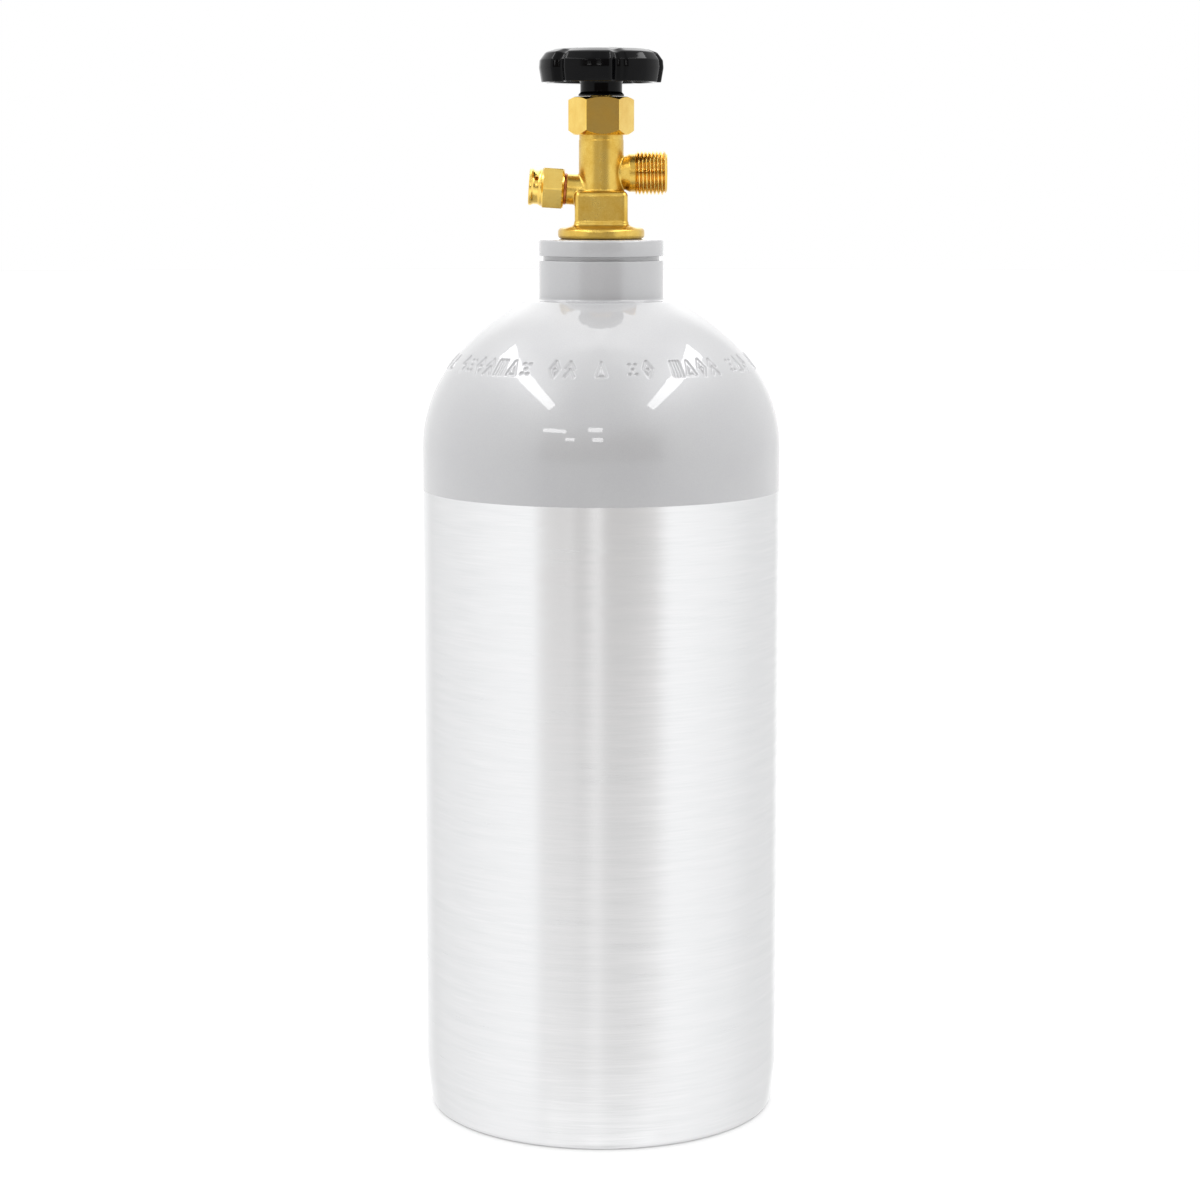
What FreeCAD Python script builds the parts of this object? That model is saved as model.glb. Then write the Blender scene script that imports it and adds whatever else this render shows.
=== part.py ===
"""A high-pressure aluminium gas cylinder with its brass shut-off valve.

The frame: millimetres, +Z up along the cylinder's axis, origin at the centre of the foot on the floor.
The outlet points to +X and the pressure relief device to -X. The valve is drawn shut.
"""
import FreeCAD
import Part
import Sketcher
import os
import re

doc = FreeCAD.newDocument("gas_cylinder")

# ---------------------------------------------------------------------------
# Driving dimensions: alias, value in millimetres (angles in degrees), meaning
# ---------------------------------------------------------------------------
DIMENSIONS = [
    ("body_radius", 87.5, "outside of the cylinder wall"),
    ("wall", 7.5, "side wall thickness"),
    ("base_thickness", 12.0, "floor of the cylinder"),
    ("base_inner_corner", 22.0, "inside radius between floor and wall"),
    ("base_dish_depth", 2.5, "shallow hollow under the base"),
    ("foot_inner_radius", 66.0, "where the foot ring starts"),
    ("foot_outer_radius", 80.8, "where the foot ring ends"),
    ("foot_corner_radius", 5.2, "rounding at the foot"),
    ("heel_radius", 85.8, "radius at the top of the foot rounding"),
    ("heel_height", 5.5, "height of the foot rounding"),
    ("taper_height", 22.0, "where the heel taper meets the straight wall"),
    ("shoulder_start", 328.0, "top of the straight wall"),
    ("shoulder_radius", 69.3, "lower, tighter arc of the shoulder"),
    ("shoulder_turn", 40.0, "angle that the lower arc turns through"),
    ("crown_radius", 110.5, "upper, flatter arc of the shoulder"),
    ("crown_turn", 17.8, "angle that the upper arc turns through"),
    ("ledge_radius", 37.6, "outer edge of the flat ledge round the neck"),
    ("ledge_height", 400.0, "height of that ledge"),
    ("inner_dome_start", 322.0, "where the inside wall starts to close in"),
    ("inner_dome_radius", 72.0, "inside arc of the shoulder"),
    ("inner_dome_end_radius", 30.0, "where the inside arc meets the neck root"),
    ("neck_root_height", 395.6, "lower mouth of the neck bore"),
    ("neck_radius", 30.3, "outside of the neck"),
    ("neck_top", 429.3, "top face of the neck, where the valve flange sits"),
    ("neck_fillet", 1.5, "rounding between neck and ledge"),
    ("neck_chamfer", 1.2, "bevel on the neck's top edge"),
    ("collar_groove_radius", 28.3, "root of the groove for a carrying collar"),
    ("collar_groove_low", 419.2, "lower side of that groove"),
    ("collar_groove_high", 421.3, "upper side of that groove"),
    ("neck_bore", 14.3, "valve thread in the neck, drawn plain"),
    ("gland_radius", 17.0, "recess for the neck seal"),
    ("gland_depth", 2.6, "depth of that recess"),
    ("neck_seal_section", 1.27, "half the thickness of the neck O-ring"),
    ("neck_seal_radius", 15.62, "middle of the O-ring's section"),
    ("shank_radius", 14.2, "valve shank, drawn at its thread crests"),
    ("shank_bottom", 403.0, "lower end of the shank"),
    ("shank_lead", 1.2, "lead-in bevel of the shank"),
    ("flange_radius", 20.9, "valve flange"),
    ("flange_top", 434.6, "upper face of the flange"),
    ("flange_edge", 2.0, "rounding of the flange's edge"),
    ("flare_radius", 17.6, "foot of the flare between flange and block"),
    ("flare_rise", 2.6, "height of that flare"),
    ("flare_curve", 6.5, "hollow curve of that flare"),
    ("block_width", 25.7, "across the wrench flats"),
    ("block_bevel", 1.7, "bevel on the block's upright corners"),
    ("block_top", 452.3, "upper face of the wrench block"),
    ("tower_radius", 10.8, "round body above the block"),
    ("tower_step", 476.5, "where the bonnet thread starts"),
    ("bonnet_thread_radius", 10.6, "thread under the bonnet nut, at its crests"),
    ("tower_top", 487.0, "top face of the valve body"),
    ("gas_way", 3.0, "bore from the cylinder up to the seat"),
    ("seat_height", 456.5, "sealing edge of the brass seat"),
    ("seat_outer", 4.2, "outer radius of the seat ring"),
    ("chamber_floor", 455.2, "floor of the chamber round the seat"),
    ("chamber_radius", 7.16, "chamber and plug thread, drawn plain"),
    ("bonnet_recess_radius", 8.6, "wider recess for the stem's collar"),
    ("bonnet_recess_floor", 480.0, "floor of that recess"),
    ("outlet_height", 460.9, "axis of the outlet"),
    ("outlet_root", 10.6, "outlet boss where it leaves the body"),
    ("outlet_neck", 8.4, "outlet boss just behind the thread"),
    ("outlet_thread_start", 16.1, "inner end of the outlet thread"),
    ("outlet_thread_radius", 10.48, "crests of the 0.825 inch, 14 per inch outlet thread"),
    ("outlet_thread_root", 9.37, "roots of that thread"),
    ("outlet_pitch", 1.8143, "pitch of that thread"),
    ("outlet_first_crest", 16.9, "middle of the first crest"),
    ("thread_flat", 0.36, "width of the flat on each crest and root"),
    ("outlet_end", 31.7, "face that the regulator's washer seals on"),
    ("outlet_chamfer", 1.0, "lead-in bevel of the outlet"),
    ("outlet_bore", 4.0, "gas way through the outlet"),
    ("outlet_bore_start", 5.0, "inner end of that bore, inside the chamber"),
    ("relief_x", 16.8, "distance of the relief boss's face from the axis"),
    ("relief_height", 453.2, "height of the middle of that face"),
    ("relief_tilt", 3.75, "rise of the relief device's axis"),
    ("relief_boss_radius", 7.3, "relief boss"),
    ("relief_boss_length", 13.0, "length of the boss, into the body"),
    ("relief_bore", 4.8, "threaded hole for the relief plug, drawn plain"),
    ("relief_bore_depth", 9.2, "depth of that hole"),
    ("relief_port", 1.5, "small way from the relief hole to the gas way"),
    ("relief_port_depth", 16.0, "how deep that way reaches"),
    ("relief_washer_thickness", 1.2, "copper washer under the relief plug"),
    ("relief_washer_radius", 7.5, "outside of that washer"),
    ("relief_washer_bore", 4.9, "inside of that washer"),
    ("disc_gasket_thickness", 0.6, "gasket under the bursting disc"),
    ("disc_thickness", 0.3, "bursting disc"),
    ("disc_radius", 4.7, "outside of the disc and its gasket"),
    ("disc_gasket_bore", 2.0, "inside of the gasket"),
    ("plug_shank_radius", 4.7, "threaded shank of the relief plug"),
    ("plug_hex_flats", 19.05, "relief plug, across flats"),
    ("plug_hex_end", 12.0, "outer end of the hexagon"),
    ("plug_cap_radius", 8.9, "rims of the vented end"),
    ("plug_waist_curve", 4.2, "hollow curve of the waist between the rims"),
    ("plug_edge", 0.4, "small bevels on the plug"),
    ("plug_hex_bevel", 1.0, "length of the bevels on the plug's hexagon"),
    ("plug_end", 18.1, "outer end of the plug"),
    ("plug_rim", 1.3, "width of the outer rim"),
    ("plug_bore", 1.9, "way through the plug"),
    ("plug_bore_end", 16.0, "blind end of that way"),
    ("vent_position", 14.4, "middle of the vent holes"),
    ("vent_radius", 1.15, "each vent hole"),
    ("vent_count", 3.0, "vent holes round the end"),
    ("nut_flats", 27.7, "bonnet nut, across flats"),
    ("nut_bottom", 478.9, "lower end of the bonnet nut"),
    ("nut_top", 497.0, "upper end of the bonnet nut"),
    ("nut_low_bevel", 2.4, "height of the lower bevel at the corners"),
    ("nut_high_bevel", 1.6, "height of the upper bevel at the corners"),
    ("nut_face_radius", 13.3, "round faces left by the bevels"),
    ("nut_thread_radius", 10.7, "bore that screws over the valve body, drawn plain"),
    ("nut_web", 487.9, "underside of the nut's web"),
    ("nut_bore", 5.06, "stem bore through the web"),
    ("nut_yaw", 33.0, "direction that one flat faces, from +X"),
    ("gasket_inner", 8.7, "inside of the bonnet gasket"),
    ("gasket_outer", 10.3, "outside of the bonnet gasket"),
    ("washer_outer", 8.4, "outside of both thrust washers"),
    ("low_washer_top", 480.9, "top of the lower thrust washer"),
    ("low_washer_bore", 3.6, "inside of the lower thrust washer"),
    ("high_washer_bottom", 485.3, "underside of the upper thrust washer"),
    ("high_washer_top", 487.8, "top of the upper thrust washer"),
    ("high_washer_bore", 5.15, "inside of the upper thrust washer"),
    ("stem_radius", 5.0, "stem where it passes the bonnet nut"),
    ("stem_journal_radius", 3.4, "stem below its collar"),
    ("tang_width", 5.0, "square tang that drives the seat carrier"),
    ("tang_bottom", 467.2, "lower end of the tang"),
    ("tang_top", 476.5, "upper end of the tang"),
    ("collar_radius", 8.3, "thrust collar of the stem"),
    ("collar_bottom", 481.0, "underside of that collar"),
    ("collar_top", 485.2, "top of that collar"),
    ("seal_groove_radius", 3.6, "root of the stem's seal groove"),
    ("seal_groove_low", 490.4, "lower side of the seal groove"),
    ("seal_groove_high", 493.4, "upper side of the seal groove"),
    ("stem_seal_section", 0.7, "half the thickness of the stem O-ring"),
    ("stem_seal_radius", 4.32, "middle of that O-ring's section"),
    ("stem_seal_height", 491.15, "height of the stem O-ring"),
    ("backup_low", 491.95, "underside of the backup ring"),
    ("backup_high", 493.35, "top of the backup ring"),
    ("backup_outer", 5.0, "outside of the backup ring"),
    ("stem_shoulder", 498.6, "where the stem turns square"),
    ("drive_width", 7.0, "square that carries the handwheel"),
    ("drive_top", 511.0, "top of the square"),
    ("stud_radius", 3.0, "threaded end of the stem, drawn plain"),
    ("stem_top", 518.8, "top of the stem"),
    ("stem_bevel", 0.5, "bevel on the end of the stem"),
    ("carrier_radius", 7.1, "seat carrier at its thread crests"),
    ("carrier_nose", 5.6, "nose of the seat carrier"),
    ("carrier_bottom", 457.2, "lower end of the seat carrier"),
    ("carrier_step", 465.5, "where the nose widens to the thread"),
    ("carrier_top", 472.5, "upper end of the seat carrier"),
    ("carrier_socket_width", 5.2, "square socket for the stem's tang"),
    ("carrier_socket_floor", 463.0, "floor of that socket"),
    ("seat_disc_radius", 4.6, "soft seat disc"),
    ("seat_disc_gap", 0.05, "play of the disc in its pocket and over the seat"),
    ("seat_disc_top", 459.6, "top of the soft seat disc"),
    ("seat_slope", 0.5, "slopes beside the seat ring and over the carrier's nose"),
    ("wheel_bottom", 497.3, "underside of the handwheel's hub"),
    ("hub_flare_radius", 11.05, "skirt at the bottom of the hub"),
    ("hub_flare_height", 0.9, "height of that skirt"),
    ("hub_radius", 10.1, "hub of the handwheel"),
    ("stem_opening", 5.5, "opening in the hub round the stem"),
    ("rim_bottom", 503.7, "underside of the rim"),
    ("rim_bottom_radius", 29.0, "rim at its lower edge"),
    ("rim_radius", 30.1, "rim at its widest"),
    ("rim_widest", 510.7, "height of the widest place"),
    ("rim_top", 514.0, "where the side turns into the dome"),
    ("rim_top_radius", 29.8, "rim at that place"),
    ("dome_edge_radius", 23.5, "where the dome turns nearly flat"),
    ("dome_edge_height", 519.3, "height of that place"),
    ("dome_round", 9.5, "rounding between side and dome"),
    ("dome_top", 520.2, "top of the handwheel"),
    ("rim_wall", 3.6, "thickness of the rim over the hollow underside"),
    ("hollow_top", 508.0, "roof of the hollow underside"),
    ("hollow_inner", 12.0, "inner edge of that hollow"),
    ("recess_radius", 10.2, "recess for the springs and nut"),
    ("recess_lip", 11.4, "outer edge of the recess's bevel"),
    ("recess_bevel", 1.2, "height of that bevel"),
    ("lobe_count", 6.0, "lobes round the rim"),
    ("notch_radius", 4.0, "each notch between lobes"),
    ("notch_distance", 31.0, "distance of a notch's middle from the axis"),
    ("notch_yaw", -74.0, "direction of the first notch"),
    ("insert_flats", 12.0, "hexagonal brass insert in the handwheel"),
    ("insert_bottom", 498.7, "lower end of the insert"),
    ("insert_hole", 7.1, "square hole in the insert"),
    ("disc_spring_bore", 3.4, "bore of the two coned disc springs"),
    ("disc_spring_radius", 8.0, "outside of the disc springs"),
    ("disc_spring_sheet", 0.6, "height of their edges"),
    ("disc_spring_low", 511.05, "lower spring's rim, on the handwheel"),
    ("disc_spring_middle", 512.45, "where the two springs meet round the stem"),
    ("disc_spring_high", 514.45, "upper spring's rim, under the washer"),
    ("top_washer_low", 515.1, "underside of the washer over the springs"),
    ("top_washer_high", 516.1, "top of that washer"),
    ("top_washer_radius", 7.6, "outside of that washer"),
    ("top_nut_high", 518.9, "top of the handwheel nut"),
    ("top_nut_flats", 10.0, "handwheel nut, across flats"),
    ("top_bore", 3.05, "bore of the washer and the nut"),
    ("top_nut_bevel", 0.6, "bevel on the nut's upper corners"),
]

sheet = doc.addObject("Spreadsheet::Sheet", "Dims")
for row, (alias, value, meaning) in enumerate(DIMENSIONS, start=1):
    sheet.set(f"A{row}", meaning)
    sheet.set(f"B{row}", str(value))
    sheet.setAlias(f"B{row}", alias)
doc.recompute()

ALIASES = {alias for alias, _, _ in DIMENSIONS}
SUB_PARTS = []


# ---------------------------------------------------------------------------
# Drawing helpers
# ---------------------------------------------------------------------------
def cell(words):
    """Turn words such as 'neck_top - neck_chamfer' into an expression on the sheet."""
    return re.sub(r"[a-z_]+", lambda word: f"Dims.{word[0]}" if word[0] in ALIASES else word[0], words)


def size(words):
    """The value that such an expression has now."""
    return float(sheet.evalExpression(cell(words)))


def new_body(name):
    """A PartDesign body whose label names the sub-part."""
    body = doc.addObject("PartDesign::Body", name)
    body.Label = name
    SUB_PARTS.append(body)
    return body


def new_sketch(body, name, plane, rise=None, shift=None, turn=None):
    """A sketch on one of the body's own origin planes: rise along its normal, shift along its own y."""
    sketch = body.newObject("Sketcher::SketchObject", name)
    support = next(f for f in body.Origin.OriginFeatures if f.Role == plane)
    sketch.AttachmentSupport = [(support, "")]
    sketch.MapMode = "FlatFace"
    if rise:
        sketch.setExpression(".AttachmentOffset.Base.z", cell(rise))
    if shift:
        sketch.setExpression(".AttachmentOffset.Base.x", cell(shift[0]))
        sketch.setExpression(".AttachmentOffset.Base.y", cell(shift[1]))
    if turn:
        sketch.AttachmentOffset = FreeCAD.Placement(
            FreeCAD.Vector(0, 0, 0), FreeCAD.Rotation(FreeCAD.Vector(0, 0, 1), 1))
        sketch.setExpression(".AttachmentOffset.Rotation.Angle", f"({cell(turn)}) * 1deg")
    return sketch


def bind(sketch, kind, geometry, place, words):
    """Hold one coordinate of a point, or a radius, at the value of an expression."""
    name = f"{kind}_{geometry}_{place}"
    if kind == "Radius":
        index = sketch.addConstraint(Sketcher.Constraint(kind, geometry, size(words)))
    else:
        index = sketch.addConstraint(Sketcher.Constraint(kind, -1, 1, geometry, place, size(words)))
    sketch.renameConstraint(index, name)
    sketch.setExpression(f"Constraints.{name}", cell(words))


def arc_between(start, end, radius):
    """The short arc from start to end: a positive radius turns left, a negative one turns right."""
    chord = end - start
    half = chord.Length / 2
    left = FreeCAD.Vector(-chord.y, chord.x, 0).normalize()
    side = 1 if radius > 0 else -1
    centre = (start + end) / 2 + left * side * (radius ** 2 - half ** 2) ** 0.5
    middle = centre + ((start + end) / 2 - centre).normalize() * abs(radius)
    return Part.Arc(start, middle, end)


def draw(sketch, points):
    """A closed outline of (x, y) or (x, y, radius) points, where a radius makes the next edge an arc."""
    corners = [FreeCAD.Vector(size(p[0]), size(p[1]), 0) for p in points]
    first_ends = []
    for index, point in enumerate(points):
        start = corners[index]
        end = corners[(index + 1) % len(points)]
        if len(point) == 2:
            sketch.addGeometry(Part.LineSegment(start, end), False)
            first_ends.append(1)
        else:
            radius = size(point[2])
            sketch.addGeometry(arc_between(start, end, radius), False)
            drawn = sketch.getPoint(index, 1)
            first_ends.append(1 if (drawn - start).Length < (drawn - end).Length else 2)
            bind(sketch, "Radius", index, 0, f"abs( {point[2]} )")
    for index, point in enumerate(points):
        bind(sketch, "DistanceX", index, first_ends[index], point[0])
        bind(sketch, "DistanceY", index, first_ends[index], point[1])
        following = (index + 1) % len(points)
        sketch.addConstraint(Sketcher.Constraint(
            "Coincident", index, 3 - first_ends[index], following, first_ends[following]))
    return sketch


def turned(body, name, points, cut=False, axis="V_Axis", shift=None, turn=None):
    """A round feature about the axis, from an outline in the XZ plane. It cuts if asked to."""
    sketch = draw(new_sketch(body, f"{name}_outline", "XZ_Plane", shift=shift, turn=turn), points)
    feature = body.newObject("PartDesign::Groove" if cut else "PartDesign::Revolution", name)
    feature.Profile = sketch
    feature.ReferenceAxis = (sketch, [axis])
    feature.Angle = 360
    return feature


def ring(name, inner, outer, low, high):
    """A flat washer or gasket as a body of its own."""
    body = new_body(name)
    turned(body, f"{name}_turning", [(inner, low), (outer, low), (outer, high), (inner, high)])
    return body


def o_ring(name, middle, height, section):
    """A seal ring of round section, as a torus."""
    torus = doc.addObject("Part::Torus", name)
    torus.Label = name
    torus.setExpression("Radius1", f"{cell(middle)} * 1mm")
    torus.setExpression("Radius2", f"{cell(section)} * 1mm")
    torus.setExpression("Placement.Base.z", f"{cell(height)} * 1mm")
    SUB_PARTS.append(torus)
    return torus


def regular(count, flats, yaw):
    """Corners of a regular polygon of that size across flats, turned by yaw degrees."""
    step = 360 / count
    reach = f"( {flats} ) / 2 / cos( {step / 2}deg )"
    angles = [f"( ( {yaw} ) * 1deg + {step / 2 + step * i}deg )" for i in range(count)]
    return [(f"{reach} * cos( {a} )", f"{reach} * sin( {a} )") for a in angles]


def prism(body, name, corners, low, high, cut=False):
    """An upright prism, added or cut, between two heights."""
    sketch = draw(new_sketch(body, f"{name}_outline", "XY_Plane", rise=low), corners)
    feature = body.newObject("PartDesign::Pocket" if cut else "PartDesign::Pad", name)
    feature.Profile = sketch
    feature.setExpression("Length", f"( {cell(high)} - ( {cell(low)} ) ) * 1mm")
    if cut:
        feature.Reversed = True  # a pocket cuts down from its sketch unless it is reversed
    return feature


def trim_to_hexagon(body, name, flats, yaw, low, high, reach):
    """Cut away all that stands outside a hexagon between two heights."""
    corners = regular(6, flats, yaw)
    sketch = draw(new_sketch(body, f"{name}_outline", "XY_Plane", rise=low), corners)
    sketch.addGeometry(Part.Circle(FreeCAD.Vector(0, 0, 0), FreeCAD.Vector(0, 0, 1), size(reach)), False)
    circle = len(corners)
    sketch.addConstraint(Sketcher.Constraint("Coincident", circle, 3, -1, 1))
    bind(sketch, "Radius", circle, 0, reach)
    feature = body.newObject("PartDesign::Pocket", name)
    feature.Profile = sketch
    feature.setExpression("Length", f"( {cell(high)} - ( {cell(low)} ) ) * 1mm")
    feature.Reversed = True
    return feature


def holes_round(body, name, plane, distance, radius, depth, count, both_sides):
    """One round cut repeated evenly about the body's Z axis, to one side of its plane or to both."""
    sketch = new_sketch(body, f"{name}_outline", plane)
    middle = FreeCAD.Vector(size(distance[0]), size(distance[1]), 0)
    sketch.addGeometry(Part.Circle(middle, FreeCAD.Vector(0, 0, 1), size(radius)), False)
    bind(sketch, "DistanceX", 0, 3, distance[0])
    bind(sketch, "DistanceY", 0, 3, distance[1])
    bind(sketch, "Radius", 0, 0, radius)
    pocket = body.newObject("PartDesign::Pocket", name)
    pocket.Profile = sketch
    pocket.setExpression("Length", f"{cell(depth)} * 1mm")
    pocket.Midplane = both_sides
    doc.recompute()
    pattern = body.newObject("PartDesign::PolarPattern", f"{name}_pattern")
    pattern.Originals = [pocket]
    axis = next(f for f in body.Origin.OriginFeatures if f.Role == "Z_Axis")
    pattern.Axis = (axis, [""])
    pattern.Angle = 360
    pattern.setExpression("Occurrences", cell(count))
    body.Tip = pattern
    return pattern


def point_outward(body):
    """Stand a piece that was drawn along +Z on the relief boss's face, pointing along its axis."""
    body.Placement = FreeCAD.Placement(
        FreeCAD.Vector(0, 0, 0), FreeCAD.Rotation(FreeCAD.Vector(0, -1, 0), 90))
    body.setExpression("Placement.Base.x", f"-{cell('relief_x')} * 1mm")
    body.setExpression("Placement.Base.z", f"{cell('relief_height')} * 1mm")
    body.setExpression("Placement.Rotation.Angle", f"(90 - {cell('relief_tilt')}) * 1deg")


# ---------------------------------------------------------------------------
# The aluminium cylinder and its neck seal
# ---------------------------------------------------------------------------
def cylinder_shell():
    """The spun one-piece shell: foot, wall, two-arc shoulder, neck with its groove, and the hollow."""
    body = new_body("cylinder_shell")
    crown_angle = "( ( shoulder_turn + crown_turn ) * 1deg )"
    lower_angle = "( shoulder_turn * 1deg )"
    inner_radius = "body_radius - wall"
    inner_centre = f"( {inner_radius} - inner_dome_radius )"
    turned(body, "shell_turning", [
        ("0", "base_dish_depth"),
        ("foot_inner_radius", "0"),
        ("foot_outer_radius", "0", "foot_corner_radius"),
        ("heel_radius", "heel_height"),
        ("body_radius", "taper_height"),
        ("body_radius", "shoulder_start", "shoulder_radius"),
        (f"body_radius - shoulder_radius * ( 1 - cos( {lower_angle} ) )",
         f"shoulder_start + shoulder_radius * sin( {lower_angle} )", "crown_radius"),
        (f"body_radius - shoulder_radius + ( shoulder_radius - crown_radius ) * cos( {lower_angle} )"
         f" + crown_radius * cos( {crown_angle} )",
         f"shoulder_start + ( shoulder_radius - crown_radius ) * sin( {lower_angle} )"
         f" + crown_radius * sin( {crown_angle} )"),
        ("ledge_radius", "ledge_height"),
        ("neck_radius + neck_fillet", "ledge_height", "-1 * neck_fillet"),
        ("neck_radius", "ledge_height + neck_fillet"),
        ("neck_radius", "collar_groove_low"),
        ("collar_groove_radius", "collar_groove_low"),
        ("collar_groove_radius", "collar_groove_high"),
        ("neck_radius", "collar_groove_high"),
        ("neck_radius", "neck_top - neck_chamfer"),
        ("neck_radius - neck_chamfer", "neck_top"),
        ("gland_radius", "neck_top"),
        ("gland_radius", "neck_top - gland_depth"),
        ("neck_bore", "neck_top - gland_depth"),
        ("neck_bore", "neck_root_height"),
        ("inner_dome_end_radius",
         f"inner_dome_start + sqrt( inner_dome_radius ^ 2 - ( inner_dome_end_radius - {inner_centre} ) ^ 2 )",
         "-1 * inner_dome_radius"),
        (inner_radius, "inner_dome_start"),
        (inner_radius, "base_thickness + base_inner_corner", "-1 * base_inner_corner"),
        (f"{inner_radius} - base_inner_corner", "base_thickness"),
        ("0", "base_thickness"),
    ])


def neck_o_ring():
    """The seal squeezed between the valve flange and the recess in the neck."""
    o_ring("neck_o_ring", "neck_seal_radius", "( neck_top - gland_depth / 2 )", "neck_seal_section")


# ---------------------------------------------------------------------------
# The forged valve body
# ---------------------------------------------------------------------------
def outlet_thread_outline():
    """Points along the outlet's outside, boss to sealing face: one flat-topped ridge per turn."""
    points = []
    turns = int((size("outlet_end") - size("outlet_chamfer") - size("outlet_first_crest"))
                / size("outlet_pitch"))
    flank = "( outlet_pitch / 2 - thread_flat / 2 )"
    for turn in range(turns + 1):
        crest = f"outlet_first_crest + {turn} * outlet_pitch"
        if turn:
            points.append((f"{crest} - {flank}", "outlet_thread_root"))
        points.append((f"{crest} - thread_flat / 2", "outlet_thread_radius"))
        points.append((f"{crest} + thread_flat / 2", "outlet_thread_radius"))
        if turn < turns:
            points.append((f"{crest} + {flank}", "outlet_thread_root"))
    return points


def valve_body():
    """Shank, flange, wrench block, tower and two bosses in one forging, then the machined ways inside."""
    body = new_body("valve_body")
    turned(body, "body_turning", [
        ("0", "shank_bottom"),
        ("shank_radius - shank_lead", "shank_bottom"),
        ("shank_radius", "shank_bottom + shank_lead"),
        ("shank_radius", "neck_top"),
        ("flange_radius - flange_edge", "neck_top", "flange_edge"),
        ("flange_radius", "neck_top + flange_edge"),
        ("flange_radius", "flange_top - flange_edge", "flange_edge"),
        ("flange_radius - flange_edge", "flange_top"),
        ("flare_radius", "flange_top", "-1 * flare_curve"),
        ("block_width / 2", "flange_top + flare_rise"),
        ("tower_radius", "flange_top + flare_rise"),
        ("tower_radius", "tower_step"),
        ("bonnet_thread_radius", "tower_step"),
        ("bonnet_thread_radius", "tower_top"),
        ("0", "tower_top"),
    ])
    half = "block_width / 2"
    inside = f"( {half} - block_bevel )"
    octagon = [(half, f"-1 * {inside}"), (half, inside), (inside, half), (f"-1 * {inside}", half),
               (f"-1 * {half}", inside), (f"-1 * {half}", f"-1 * {inside}"),
               (f"-1 * {inside}", f"-1 * {half}"), (inside, f"-1 * {half}")]
    prism(body, "wrench_block", octagon, "flange_top - 1", "block_top")
    turned(body, "outlet_boss", [
        ("0", "0"),
        ("0", "outlet_root"),
        ("outlet_thread_start", "outlet_neck"),
        *outlet_thread_outline(),
        ("outlet_end - outlet_chamfer", "outlet_thread_root"),
        ("outlet_end", "outlet_thread_root - outlet_chamfer / 2"),
        ("outlet_end", "0"),
    ], axis="H_Axis", shift=("0", "outlet_height"))
    relief_place = {
        "axis": "H_Axis",
        "shift": ("-1 * relief_x", "relief_height"),
        "turn": "-1 * relief_tilt",
    }
    turned(body, "relief_boss", [
        ("0", "0"),
        ("0", "relief_boss_radius"),
        ("relief_boss_length", "relief_boss_radius + 1"),
        ("relief_boss_length", "0"),
    ], **relief_place)
    turned(body, "main_bore", [
        ("0", "shank_bottom - 1"),
        ("gas_way", "shank_bottom - 1"),
        ("gas_way", "seat_height"),
        ("seat_outer", "seat_height"),
        ("seat_outer + seat_slope", "chamber_floor"),
        ("chamber_radius", "chamber_floor"),
        ("chamber_radius", "bonnet_recess_floor"),
        ("bonnet_recess_radius", "bonnet_recess_floor"),
        ("bonnet_recess_radius", "tower_top + 1"),
        ("0", "tower_top + 1"),
    ], cut=True)
    turned(body, "outlet_way", [
        ("outlet_bore_start", "0"),
        ("outlet_bore_start", "outlet_bore"),
        ("outlet_end + 1", "outlet_bore"),
        ("outlet_end + 1", "0"),
    ], cut=True, axis="H_Axis", shift=("0", "outlet_height"))
    turned(body, "relief_way", [
        ("-1", "0"),
        ("-1", "relief_bore"),
        ("relief_bore_depth", "relief_bore"),
        ("relief_bore_depth", "relief_port"),
        ("relief_port_depth", "relief_port"),
        ("relief_port_depth", "0"),
    ], cut=True, **relief_place)


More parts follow.
